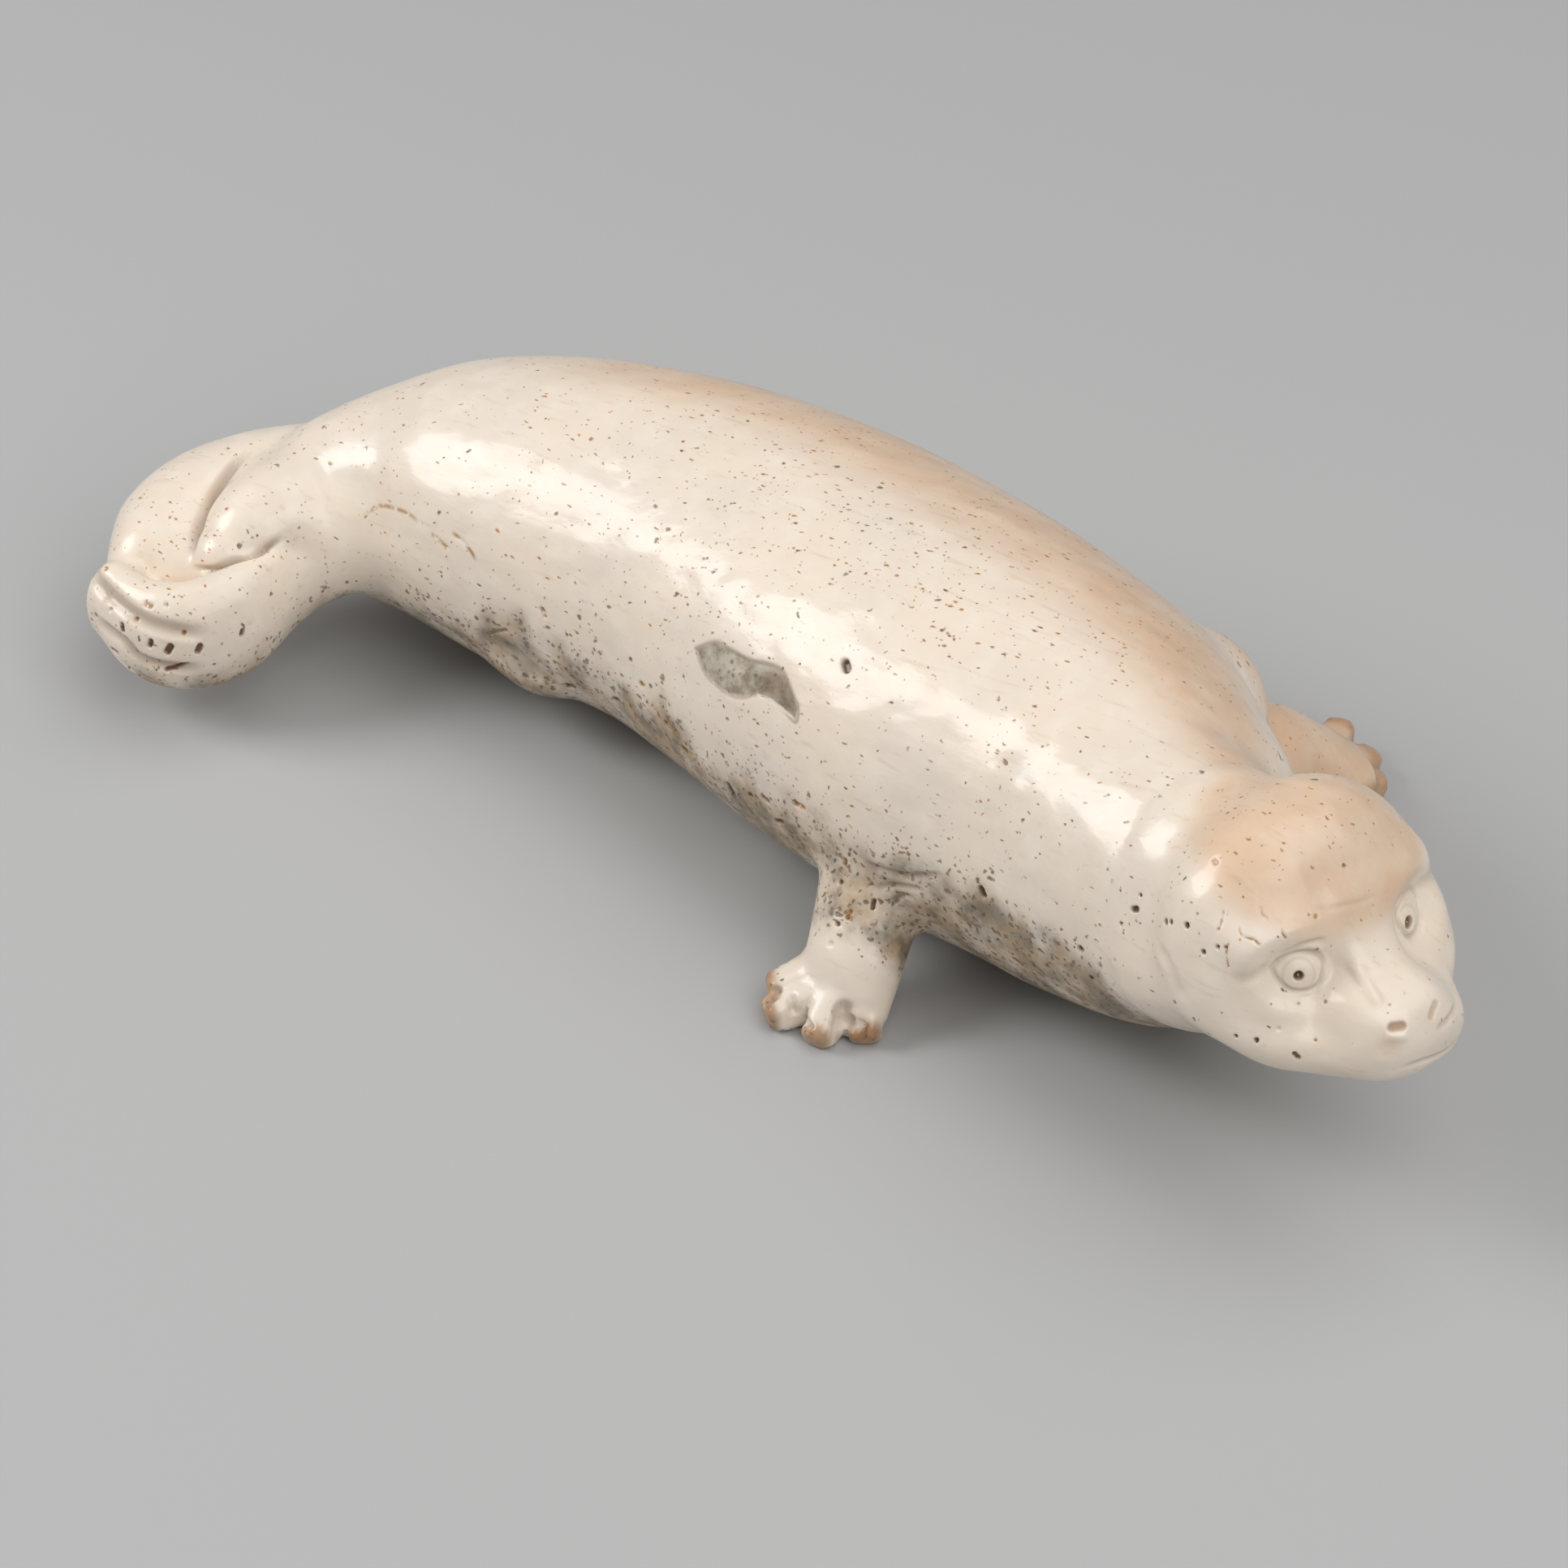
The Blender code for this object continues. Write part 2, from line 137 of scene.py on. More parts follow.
# Small hollows: the places along each, half-width, depth and what has gathered in it.
# On the head, the places are forward, left and up from midway between the eyes.
HEAD_PITS = (
    ([(2.1, -14.4, -5.5)], 0.32, 0.2, "ochre"),
    ([(4.3, -13.6, -8.6), (4.8, -13.3, -9.2)], 0.36, 0.35, "umber"),
    ([(5.5, -11.2, -6.9)], 0.3, 0.15, "ochre"),
    ([(3.9, -7.9, -3.6)], 0.3, 0.15, "olive_and_shade"),
    ([(2.1, -11.0, -3.2)], 0.25, 0.15, "olive_and_shade"),
    ([(-1.9, -17.9, -7.4)], 0.34, 0.3, "umber"),
    ([(0.6, -16.7, -7.4)], 0.26, 0.25, "umber"),
    ([(-0.4, -6.5, 7.0)], 0.4, 0.08, "ochre"),
    ([(1.2, 1.7, 5.3)], 0.3, 0.1, "ochre"),
    ([(10.4, -0.8, -1.7)], 0.25, 0.08, "ochre"),
    ([(10.4, -3.5, -2.2)], 0.25, 0.08, "ochre"),
    ([(-14.6, -17.8, 3.1)], 0.4, 0.5, "umber"),
    ([(-11.9, -17.7, 4.2)], 0.5, 0.6, "umber"),
    ([(-8.5, -17.9, 2.1)], 0.42, 0.4, "umber"),
    ([(-6.7, -17.2, 3.7)], 0.35, 0.35, "umber"),
    ([(-5.6, -17.0, 4.2)], 0.3, 0.3, "umber"),
    ([(-22.9, -16.3, -0.8), (-22.4, -16.5, -0.4)], 0.5, 0.6, "umber"),
    ([(-22.5, -15.6, 1.4)], 0.32, 0.35, "umber"),
    ([(-24.2, -17.2, -3.5)], 0.34, 0.35, "umber"),
    ([(-12.7, -12.3, 11.0)], 0.38, 0.12, "ochre"),
    ([(-4.9, -11.8, 8.4), (-4.4, -12.1, 7.9), (-3.6, -11.9, 7.4)], 0.18, 0.09, "ochre"),
    ([(-1.6, -11.1, 6.6), (-1.2, -11.3, 6.1), (-0.8, -11.1, 5.7)], 0.18, 0.09, "ochre"),
    ([(-5.4, -14.9, 6.5), (-4.6, -15.1, 5.8), (-3.2, -14.4, 5.6), (-2.4, -14.2, 5.2)], 0.19, 0.09, "ochre"),
    ([(-5.5, -16.6, 4.8), (-5.2, -17.0, 3.4), (-4.6, -17.2, 1.9)], 0.17, 0.12, "ochre"),
    ([(-8.2, -15.2, 7.6), (-7.6, -15.9, 6.4), (-7.6, -16.2, 5.4)], 0.19, 0.09, "ochre"),
)
# On the rest of the carving they are x, y and z, as they are for all that follows.
BODY_PITS = (
    ([(18.0, -10.3, 45.4), (18.6, -10.5, 44.8)], 0.75, 0.8, "umber"),
    ([(80.5, -30.2, 43.3)], 0.5, 0.5, "umber"),
    ([(96.1, -34.7, 34.0)], 0.4, 0.3, "umber"),
    ([(84.1, -25.8, 51.6)], 0.3, 0.15, "ochre"),
    ([(-86.0, -29.5, 17.4), (-86.2, -29.6, 16.6)], 0.45, 0.6, "umber"),
    ([(-83.2, -28.5, 17.0), (-83.7, -28.7, 16.0)], 0.6, 0.7, "umber"),
    ([(-79.8, -26.0, 17.0), (-80.2, -26.2, 16.1)], 0.5, 0.6, "umber"),
    ([(-76.5, -20.5, 17.8), (-76.6, -20.7, 17.2)], 0.4, 0.4, "umber"),
    ([(-84.2, -28.7, 12.4), (-82.6, -28.1, 12.9), (-81.2, -27.4, 14.0)], 0.35, 0.6, "umber"),
    ([(24.4, -19.6, 21.0), (24.4, -19.5, 20.2)], 0.36, 0.4, "ochre"),
    ([(21.0, -19.0, 18.0)], 0.38, 0.4, "ochre"),
    ([(24.5, -20.5, 18.0)], 0.38, 0.4, "umber"),
    ([(27.5, -23.0, 16.0), (27.5, -23.2, 15.0)], 0.38, 0.5, "ochre"),
    ([(26.5, -24.0, 14.0)], 0.4, 0.35, "umber"),
    ([(30.0, -21.0, 17.5), (30.1, -21.3, 16.6)], 0.38, 0.5, "umber"),
    ([(31.0, -20.0, 21.0)], 0.4, 0.4, "umber"),
    ([(26.5, -26.0, 12.0)], 0.4, 0.3, "ochre"),
    ([(43.0, -19.0, 15.5)], 0.6, 0.5, "umber"),
    ([(47.5, -22.2, 28.3), (47.9, -22.4, 27.6)], 0.6, 0.8, "umber"),
    ([(52.5, -21.0, 18.0), (53.2, -21.2, 17.6)], 0.6, 0.5, "umber"),
    ([(65.5, -26.5, 29.5)], 0.6, 0.5, "umber"),
    ([(67.0, -26.0, 25.0)], 0.5, 0.5, "umber"),
    ([(-19.0, -7.0, 28.5)], 0.4, 0.3, "umber"),
    ([(-11.5, -10.0, 22.5)], 0.5, 0.3, "umber"),
    ([(-8.0, -10.5, 20.0), (-7.2, -10.6, 19.7)], 0.4, 0.4, "umber"),
    ([(15.5, -18.0, 26.0)], 0.4, 0.3, "umber"),
    ([(6.5, -15.5, 21.5)], 0.5, 0.4, "umber"),
    ([(-10.8, -10.1, 23.5), (-9.2, -10.6, 22.6)], 0.6, 0.35, "ochre"),
    ([(-16.5, -8.2, 26.0)], 0.6, 0.35, "ochre"),
    ([(1.8, -13.9, 20.1), (2.4, -13.6, 18.7)], 0.6, 0.4, "umber"),
    ([(9.1, -16.4, 23.0), (10.1, -16.6, 22.8)], 0.45, 0.35, "umber"),
    ([(15.4, -18.1, 25.6), (16.9, -18.4, 25.9)], 0.5, 0.3, "ochre"),
    ([(11.2, -16.2, 19.6), (12.4, -16.7, 20.3)], 0.45, 0.3, "umber"),
    ([(-8.2, -10.6, 20.3), (-5.1, -11.8, 20.5)], 0.4, 0.3, "ochre"),
    ([(-46.9, -2.6, 18.4), (-45.3, -2.9, 19.7), (-43.2, -3.2, 21.1)], 0.35, 0.3, "olive_and_shade"),
    ([(-34.0, -1.5, 14.2), (-32.8, -2.0, 14.6)], 0.6, 0.3, "umber"),
    ([(-23.4, -5.2, 18.6), (-22.4, -5.6, 19.1)], 0.45, 0.3, "umber"),
    ([(-36.5, -3.7, 27.7), (-36.0, -3.8, 26.9)], 0.45, 0.3, "ochre"),
    ([(-97.3, -27.7, 16.3)], 0.4, 0.35, "umber"),
    ([(-93.8, -28.5, 19.1)], 0.45, 0.35, "ochre"),
    ([(-91.1, -29.4, 18.2), (-90.9, -29.5, 17.4)], 0.45, 0.4, "umber"),
    ([(-89.1, -29.0, 19.6)], 0.4, 0.35, "ochre"),
    ([(-81.8, -27.0, 18.9)], 0.4, 0.35, "ochre"),
    ([(-87.9, -27.5, 21.9), (-87.2, -27.3, 21.8)], 0.45, 0.35, "ochre"),
    ([(-93.8, -28.8, 12.4), (-92.6, -29.2, 12.6)], 0.45, 0.4, "umber"),
    ([(-85.1, -26.5, 22.4)], 0.4, 0.3, "ochre"),
    ([(-97.4, -24.7, 22.7)], 0.45, 0.35, "ochre"),
)
# Longer cuts: the places along each, half-width, depth, what has gathered in it, and how much of it.
CUTS = (
    ([(-99.7, -22.8, 19.5), (-88.2, -28.7, 20.1), (-83.8, -27.9, 19.6), (-78.3, -23.6, 18.2)],
     1.7, 0.9, "umber", 0.45),
    ([(-98.0, -26.8, 15.6), (-91.2, -29.7, 15.8), (-88.0, -29.7, 13.9), (-83.8, -28.6, 13.4),
      (-79.0, -24.8, 13.3)], 1.4, 0.8, "umber", 0.45),
    ([(-101.0, -24.0, 12.5), (-93.0, -29.0, 10.5), (-86.0, -28.0, 9.5)], 0.8, 0.55, "umber", 0.45),
    ([(-92.8, 4.0, 29.5), (-92.8, -1.6, 28.0), (-92.2, -6.5, 26.8), (-90.8, -11.1, 25.5),
      (-89.2, -15.0, 24.0), (-88.4, -18.5, 22.5)], 1.3, 1.0, "umber", 0.45),
    ([(-88.5, -18.0, 22.0), (-84.4, -16.6, 23.0), (-80.8, -13.6, 24.5), (-77.5, -8.0, 26.5)],
     0.8, 0.7, "umber", 0.5),
    ([(27.0, -20.0, 22.0), (32.0, -20.5, 23.0), (36.5, -20.5, 24.5), (41.5, -21.5, 27.5)],
     0.9, 0.45, "umber", 0.3),
    ([(29.5, -20.5, 18.5), (33.0, -20.0, 21.0), (38.0, -20.5, 22.5)], 0.8, 0.4, "umber", 0.3),
    ([(32.0, -20.5, 17.0), (34.0, -20.0, 19.5), (36.0, -20.0, 19.5)], 0.7, 0.35, "umber", 0.3),
    ([(-46.8, -2.6, 18.4), (-42.2, -2.4, 17.4), (-38.0, -1.0, 14.6), (-34.8, -0.4, 12.4)],
     1.4, 0.35, "umber", 0.15),
    ([(79.1, -30.9, 39.7), (81.4, -32.5, 39.1), (83.1, -33.3, 37.7), (85.3, -33.9, 34.8)],
     1.3, 0.45, "umber", 0.05),
    ([(52.0, 22.0, 41.0), (57.0, 20.5, 38.5), (62.0, 19.0, 36.0), (67.0, 18.0, 33.0),
      (71.0, 18.0, 29.0)], 1.2, 0.5, "umber", 0.15),
    ([(-70.5, 0.0, 27.5), (-67.5, 0.5, 30.5), (-62.5, -0.5, 32.0), (-59.0, -1.0, 31.5)],
     0.45, 0.06, "ochre", 0.9),
    ([(-57.5, -1.0, 31.0), (-55.0, -2.0, 30.5), (-53.0, -2.0, 30.0)], 0.45, 0.1, "ochre", 0.9),
    ([(-54.0, -1.0, 32.5), (-51.5, -1.5, 32.0), (-49.5, -2.0, 31.0), (-48.5, -2.5, 30.0)],
     0.45, 0.15, "ochre", 1.0),
    ([(23.2, -30.8, 5.8), (24.6, -32.1, 4.4), (26.2, -33.4, 3.6), (27.0, -34.4, 2.6)],
     1.0, 1.0, "umber", 0.15),
    ([(31.2, -28.8, 6.6), (31.6, -30.2, 4.6), (32.2, -31.2, 3.0), (32.6, -31.8, 1.6)],
     1.8, 1.4, "umber", 0.15),
    ([(21.4, -30.4, 5.6), (21.5, -32.3, 4.6), (21.0, -33.6, 3.4)], 0.8, 0.8, "umber", 0.2),
)
# The worn patch: its middle, which way it faces, and its outline in its own plane.
PATCH_MIDDLE = (4.2, -12.0, 38.2)
PATCH_OUT = (-0.25, -0.84, 0.49)
PATCH_OUTLINE = (
    (-11.5, -1.5), (-8.5, 1.0), (-5.5, 1.5), (-1.5, 2.0), (1.5, 3.0), (4.0, 3.5), (5.5, 3.0), (8.0, 1.5),
    (9.5, 0.5), (10.0, -1.5), (7.0, -1.0), (4.5, -1.0), (2.0, -1.5), (0.0, -3.0), (-3.0, -4.0), (-6.0, -4.0),
    (-8.5, -3.5),
)

# How high the spongy bone, darkened as painted shade low on the carving, reaches on the sides: x, then the
# level.
SPONGY_AND_SHADED_LINE = (
    (-100.0, 6.0), (-66.0, 13.0), (-46.8, 20.5), (-34.8, 22.5), (-20.5, 24.0), (-4.0, 23.5), (8.5, 24.5),
    (19.6, 24.5), (30.0, 22.5), (43.0, 26.5), (60.0, 27.5), (70.0, 25.0), (78.0, 16.0), (90.0, 10.0),
)
# Grey places, ash on the bone and painted shade on the belly and under the chest and jaw: the middle and the
# reach.
ASHEN_AND_SHADED = (
    ((39.5, -21.0, 26.0), 3.0), ((52.0, -23.0, 24.5), 3.5), ((59.5, -25.5, 28.0), 2.6),
    ((62.5, -25.5, 26.0), 3.0), ((68.0, -26.0, 23.5), 4.0), ((-41.0, -2.3, 16.5), 4.5),
    ((-36.5, 0.5, 9.0), 6.0), ((-62.0, 1.0, 10.0), 7.0), ((-14.0, -8.0, 8.0), 8.0),
    ((8.0, -12.0, 9.0), 8.0), ((86.0, -28.0, 20.0), 6.0),
)

# How finely the surface is worked: the edge lengths of the block, of plain skin and of the face.
ROUGHING = 1.6
PLAIN = 0.95
FACE = 0.62
FINE = 0.97 * PLAIN                     # skin under this is near a detail
SPREAD = 0.3                            # how fast the edges lengthen away from a detail
STRETCH = 1.35                          # an edge this much too long is split
SPLITS = 4
NEARLY_FLAT = math.radians(12)          # two triangles meeting at less than this may swap their edge
MOST_TRIANGLES = 199000

# The four corners round a point from which the slope there is felt, and how far out they are.
PROBES = np.array([(1.0, 1.0, 1.0), (1.0, -1.0, -1.0), (-1.0, 1.0, -1.0), (-1.0, -1.0, 1.0)])
PROBE = 0.03

# What may gather in a mark, with painted shade among it: the olive tint in the creases of the face and the
# blush in the hollow under the right nostril. How much of it there is gets stored at each point, for the
# bone's colour.
STAINS = ("umber", "ochre", "olive_and_shade", "pearl", "slate", "scorch", "blush_and_shade")

# The studio, in metres: each soft light's azimuth from +X towards +Y, elevation, distance, width and power.
LIGHTS = {
    "key_light": (-150, 36, 1.1, 0.5, 6.4),
    "top_light": (60, 70, 1.3, 1.2, 6.0),
    "fill_light": (-25, 45, 1.2, 0.9, 6.6),
}
LIT_PLACE = (0.0, 0.0, 0.025)
AIR_COLOUR = (0.80, 0.82, 0.85, 1.0)
AIR_GLOW = 0.25
FLOOR_WIDTH = 6.0
FLOOR_COLOUR = (0.46, 0.46, 0.455, 1.0)
CAMERA_PLACE = (0.37446, -0.57351, 0.53822)
CAMERA_TARGET = (-0.00009, -0.01821, 0.01491)
CAMERA_LENS = 142.55
CAMERA_SENSOR = 36.0


def on_head(forward, left, up):
    """A place on the head, from midway between the eyes."""
    return BETWEEN_EYES + forward * FORWARD + left * LEFTWARD + up * UPWARD


def unit(vector):
    return vector / np.linalg.norm(vector)


def smooth_min(a, b, melt):
    closeness = np.maximum(melt - np.abs(a - b), 0.0) / melt
    return np.minimum(a, b) - closeness**2 * melt / 4


def smooth_max(a, b, melt):
    return -smooth_min(-a, -b, melt)


def smooth_step(value):
    value = np.clip(value, 0.0, 1.0)
    return value * value * (3 - 2 * value)


def rise(value, start, end):
    """0 up to the start, 1 from the end on and smooth between, whichever of the two is the higher."""
    return smooth_step((value - start) / (end - start))


def smooth_rows(rows, count):
    """Rows on a smooth curve through the given ones (Catmull-Rom)."""
    knots = np.asarray(rows, float)
    knots = np.vstack([2 * knots[0] - knots[1], knots, 2 * knots[-1] - knots[-2]])
    along = np.linspace(0, len(knots) - 3, count)
    first = np.minimum(along.astype(int), len(knots) - 4)
    t = (along - first)[:, None]
    a, b, c, d = (knots[first + step] for step in range(4))
    bend = 2 * a - 5 * b + 4 * c - d
    return (2 * b + (c - a) * t + bend * t**2 + (3 * b - a - 3 * c + d) * t**3) / 2


def distance_in(offset, radii, power):
    """Distance outside a rounded shape whose half-sizes are the radii; below zero inside it."""
    reach = np.abs(offset) / radii
    size = (reach**power).sum(1) ** (1 / power) + 1e-9
    slope = np.sqrt(((reach ** (power - 1) / radii) ** 2).sum(1)) * size ** (1 - power) + 1e-9
    return (size - 1) / slope


def add_ball(centre, axes, radii):
    """A ball of the rough block, in edit mode."""
    turn = Matrix(np.transpose(axes).tolist()).to_euler()
    bpy.ops.mesh.primitive_ico_sphere_add(
        subdivisions=3, radius=1.0, location=centre, rotation=turn, scale=radii)


class Egg:
    """An egg, with its axes along the head's own unless they are given. A higher power squares it up."""

    def __init__(self, centre, radii, melt=4.0, power=2.0, axes=(FORWARD, LEFTWARD, UPWARD)):
        self.centre = np.asarray(centre, float)
        self.radii = np.asarray(radii, float)
        self.melt = melt
        self.power = power
        self.axes = np.array(axes)

    def distance(self, points):
        return distance_in((points - self.centre) @ self.axes.T, self.radii, self.power)

    def block_out(self):
        add_ball(self.centre, self.axes, self.radii)


class Limb:
    """A body swept through sections, with round ends."""

    ROWS_A_SECTION = 6
    BALL_STEP = 0.4                     # from one ball of the rough block to the next, in ball sizes
    MOST_POINTS = 20000                 # reckoned at one time

    def __init__(self, sections, melt, power=2.0, sideways=None):
        rows = smooth_rows(sections, self.ROWS_A_SECTION * len(sections))
        self.middle = rows[:, :3]
        self.half = rows[:, 3:]
        heading = np.gradient(self.middle, axis=0)
        self.heading = heading / np.linalg.norm(heading, axis=1)[:, None]
        if sideways is None:
            side = np.cross(UPWARD, self.heading)
        else:
            side = sideways - (self.heading @ sideways)[:, None] * self.heading
        self.side = side / np.linalg.norm(side, axis=1)[:, None]
        self.top = np.cross(self.heading, self.side)
        self.melt = melt
        self.power = power
        reach = self.half.max(1)[:, None]
        self.low = (self.middle - reach).min(0)
        self.high = (self.middle + reach).max(0)

    def distance(self, points):
        beyond = np.maximum(np.maximum(self.low - points, points - self.high), 0)
        out = np.linalg.norm(beyond, axis=1) + self.melt
        # Far off, the distance to its box is close enough.
        near = np.flatnonzero(out < 3 * self.melt + 6)
        for part in np.array_split(near, max(1, len(near) // self.MOST_POINTS)):
            if len(part):
                out[part] = self.near_distance(points[part])
        return out

    def near_distance(self, points):
        squares = (self.middle**2).sum(1) - 2 * points @ self.middle.T
        row = squares.argmin(1)
        along = ((points - self.middle[row]) * self.heading[row]).sum(1)
        onward = np.sign(along)
        other = np.clip(row + onward.astype(int), 0, len(self.middle) - 1)
        to_go = -onward * ((points - self.middle[other]) * self.heading[other]).sum(1)
        share = np.abs(along) / np.maximum(np.abs(along) + np.maximum(to_go, 0), 1e-6)
        share = np.where(other == row, 0.0, share)[:, None]

        def between(values):
            return values[row] * (1 - share) + values[other] * share

        offset = points - between(self.middle)
        half = between(self.half)
        local = np.stack([(offset * between(way)).sum(1) for way in (self.side, self.top, self.heading)], 1)
        return distance_in(local, np.column_stack([half, half.min(1)]), self.power)

    def block_out(self):
        travelled = np.inf
        before = self.middle[0]
        for row, centre in enumerate(self.middle):
            travelled += np.linalg.norm(centre - before)
            before = centre
            narrowest = self.half[row].min()
            if travelled < self.BALL_STEP * narrowest and row < len(self.middle) - 1:
                continue
            axes = (self.side[row], self.top[row], self.heading[row])
            add_ball(centre, axes, (*self.half[row], narrowest))
            travelled = 0.0


class Mark:
    """A cut along a line of places on the skin, or a raised line where its depth is below zero."""

    REACH = 2.2                         # how far off the skin it still acts
    ROWS_A_PLACE = 6
    FADE = 0.22                         # the share of its length over which each end fades

    def __init__(self, places, width, depth, wall=None, stain=None, amount=1.0, grain=None, fade=True):
        self.places = np.atleast_2d(np.asarray(places, float))
        self.width = width
        self.depth = depth
        self.wall = wall
        self.stain = stain
        self.amount = amount
        self.grain = grain or max(0.2, 0.5 * width)
        self.fade = fade and len(self.places) > 1

    def lay_on(self, form):
        places = self.places
        if len(places) > 1:
            places = smooth_rows(places, self.ROWS_A_PLACE * len(places))
        else:
            places = np.vstack([places, places + 0.01])
        self.path = form.settle(places, steps=8, longest_step=0.6)
        self.out = form.outward(self.path)
        steps = np.linalg.norm(np.diff(self.path, axis=0), axis=1)
        self.along = np.concatenate([[0], np.cumsum(steps)])
        self.low = self.path.min(0)
        self.high = self.path.max(0)

    def near(self, points, margin):
        """Which points are near, how far each is from the line along the skin, and how far along it."""
        reach = margin + self.REACH
        inside = ((points > self.low - reach) & (points < self.high + reach)).all(1)
        which = np.flatnonzero(inside)
        gap = np.full(len(which), np.inf)
        place = np.zeros(len(which))
        for row in range(len(self.path) - 1):
            step = self.path[row + 1] - self.path[row]
            length = max(np.linalg.norm(step), 1e-6)
            t = np.clip((points[which] - self.path[row]) @ step / length**2, 0, 1)
            offset = points[which] - self.path[row] - t[:, None] * step
            height = offset @ self.out[row]
            across = np.sqrt(np.maximum((offset**2).sum(1) - height**2, 0))
            across[np.abs(height) > self.REACH] = np.inf
            closer = across < gap
            gap[closer] = across[closer]
            place[closer] = self.along[row] + t[closer] * length
        return which, gap, place / max(self.along[-1], 1e-6)

    def share(self, points):
        which, gap, place = self.near(points, self.width)
        if self.wall is None:
            share = np.maximum(1 - (gap / self.width) ** 2, 0) ** 2
        else:
            share = smooth_step((self.width - gap) / self.wall)
        if self.fade:
            share = share * smooth_step(np.minimum(place, 1 - place) / self.FADE)
        return which, share

    def fineness(self, points, size):
        which, gap, _ = self.near(points, (PLAIN - self.grain) / SPREAD + self.width)
        size[which] = np.minimum(size[which], self.grain + SPREAD * np.maximum(gap - self.width, 0))


class Panel:
    """A sunk field with a sharp edge, drawn on a plane that touches the skin."""

    REACH = 3.0

    def __init__(self, centre, out, outline, rim, depth, stain=None, amount=1.0, grain=0.3):
        self.centre = np.asarray(centre, float)
        self.out = unit(np.asarray(out, float))
        self.across = unit(np.cross(UPWARD, self.out))
        self.up = np.cross(self.out, self.across)
        self.outline = np.asarray(outline, float)
        self.rim = rim
        self.depth = depth
        self.stain = stain
        self.amount = amount
        self.grain = grain

    def at(self, place):
        return self.centre + place[0] * self.across + place[1] * self.up

    def lay_on(self, form):
        pass

    def near(self, points, margin):
        """Which points are near, and how far each is inside the outline; below zero outside it."""
        offset = points - self.centre
        flat = np.stack([offset @ self.across, offset @ self.up], 1)
        box = (flat > self.outline.min(0) - margin) & (flat < self.outline.max(0) + margin)
        which = np.flatnonzero(box.all(1) & (np.abs(offset @ self.out) < self.REACH))
        flat = flat[which]
        gap = np.full(len(which), np.inf)
        crossings = np.zeros(len(which), int)
        for a, b in zip(self.outline, np.roll(self.outline, -1, 0)):
            t = np.clip((flat - a) @ (b - a) / ((b - a) ** 2).sum(), 0, 1)
            gap = np.minimum(gap, np.linalg.norm(flat - a - t[:, None] * (b - a), axis=1))
            straddles = (a[1] > flat[:, 1]) != (b[1] > flat[:, 1])
            height = b[1] - a[1] if b[1] != a[1] else 1e-9
            crossings += straddles & (flat[:, 0] < a[0] + (flat[:, 1] - a[1]) / height * (b[0] - a[0]))
        return which, np.where(crossings % 2 == 1, gap, -gap)

    def share(self, points):
        which, inside = self.near(points, self.rim)
        return which, smooth_step(inside / self.rim)

    def fineness(self, points, size):
        which, inside = self.near(points, (PLAIN - self.grain) / SPREAD)
        size[which] = np.minimum(size[which], self.grain + SPREAD * np.maximum(np.abs(inside) - self.rim, 0))


class Carving:
    """Masses melted together, less the scoops, with the swellings in them and the marks on their skin, and
    flat where it lies."""

    SCOOP_RIM = 2.5

    def __init__(self, masses, scoops, swellings):
        self.masses = masses
        self.scoops = scoops
        self.swellings = swellings
        self.marks = []
        self.face = Egg(on_head(4.0, 0.0, -4.0), (13.0, 15.0, 12.0))

    def cut(self, marks):
        for mark in marks:
            mark.lay_on(self)
        self.marks += marks

    def distance(self, points):
        out = self.masses[0].distance(points)
        for mass in self.masses[1:]:
            out = smooth_min(out, mass.distance(points), mass.melt)
        for scoop in self.scoops:
            out = smooth_max(out, -scoop.distance(points), self.SCOOP_RIM)
        for swelling in self.swellings:
            out = smooth_min(out, swelling.distance(points), swelling.melt)
        for mark in self.marks:
            which, share = mark.share(points)
            out[which] += mark.depth * share
        return np.maximum(out, -points[:, 2])

    def height_and_slope(self, points):
        """How far each point is outside, and which way that grows, from four places round it."""
        height = np.zeros(len(points))
        slope = np.zeros_like(points)
        for way in PROBES:
            there = self.distance(points + PROBE * way)
            height += there / len(PROBES)
            slope += there[:, None] * way * 3 / (len(PROBES) * PROBE * (way @ way))
        return height, slope

    def outward(self, points):
        slope = self.height_and_slope(points)[1]
        return slope / np.maximum(np.linalg.norm(slope, axis=1), 1e-6)[:, None]

    def settle(self, points, steps, longest_step=1.5):
        """Moves each point to the surface, along the steepest way."""
        for _ in range(steps):
            height, slope = self.height_and_slope(points)
            steepness = np.maximum((slope**2).sum(1), 0.05)
            move = -(height / steepness)[:, None] * slope
            length = np.maximum(np.linalg.norm(move, axis=1), 1e-9)[:, None]
            points = points + move * np.minimum(1.0, longest_step / length)
        return points

    def fineness(self, points):
        """The edge length that suits each point."""
        size = np.full(len(points), float(PLAIN))
        size = np.minimum(size, FACE + 0.5 * SPREAD * np.maximum(self.face.distance(points), 0))
        for mark in self.marks:
            mark.fineness(points, size)
        return size


def toes(pairs):
    return [Limb(((*root, *TOE_ROOT), (*tip, *TOE_TIP)), melt=0.5, power=3.6) for root, tip in pairs]


def hind_end():
    web = Egg((-91.0, -6.0, 14.5), (10.0, 13.0, 7.5), melt=3.0)
    web_ridge = Egg((-91.5, -10.5, 19.0), (7.0, 8.5, 6.0), melt=2.0)
    rump = Egg((-75.5, 2.0, 21.0), (7.0, 6.5, 7.2), melt=4.0)
    belly_lump = Egg((-43.0, 2.2, 12.2), (7.0, 3.4, 3.5), melt=4.0)
    flippers = [Limb(sections, melt=1.2) for sections in (TAIL_LOBE, LEFT_HIND_FLIPPER, RIGHT_HIND_FLIPPER)]
    return [*flippers, web, web_ridge, rump, belly_lump]


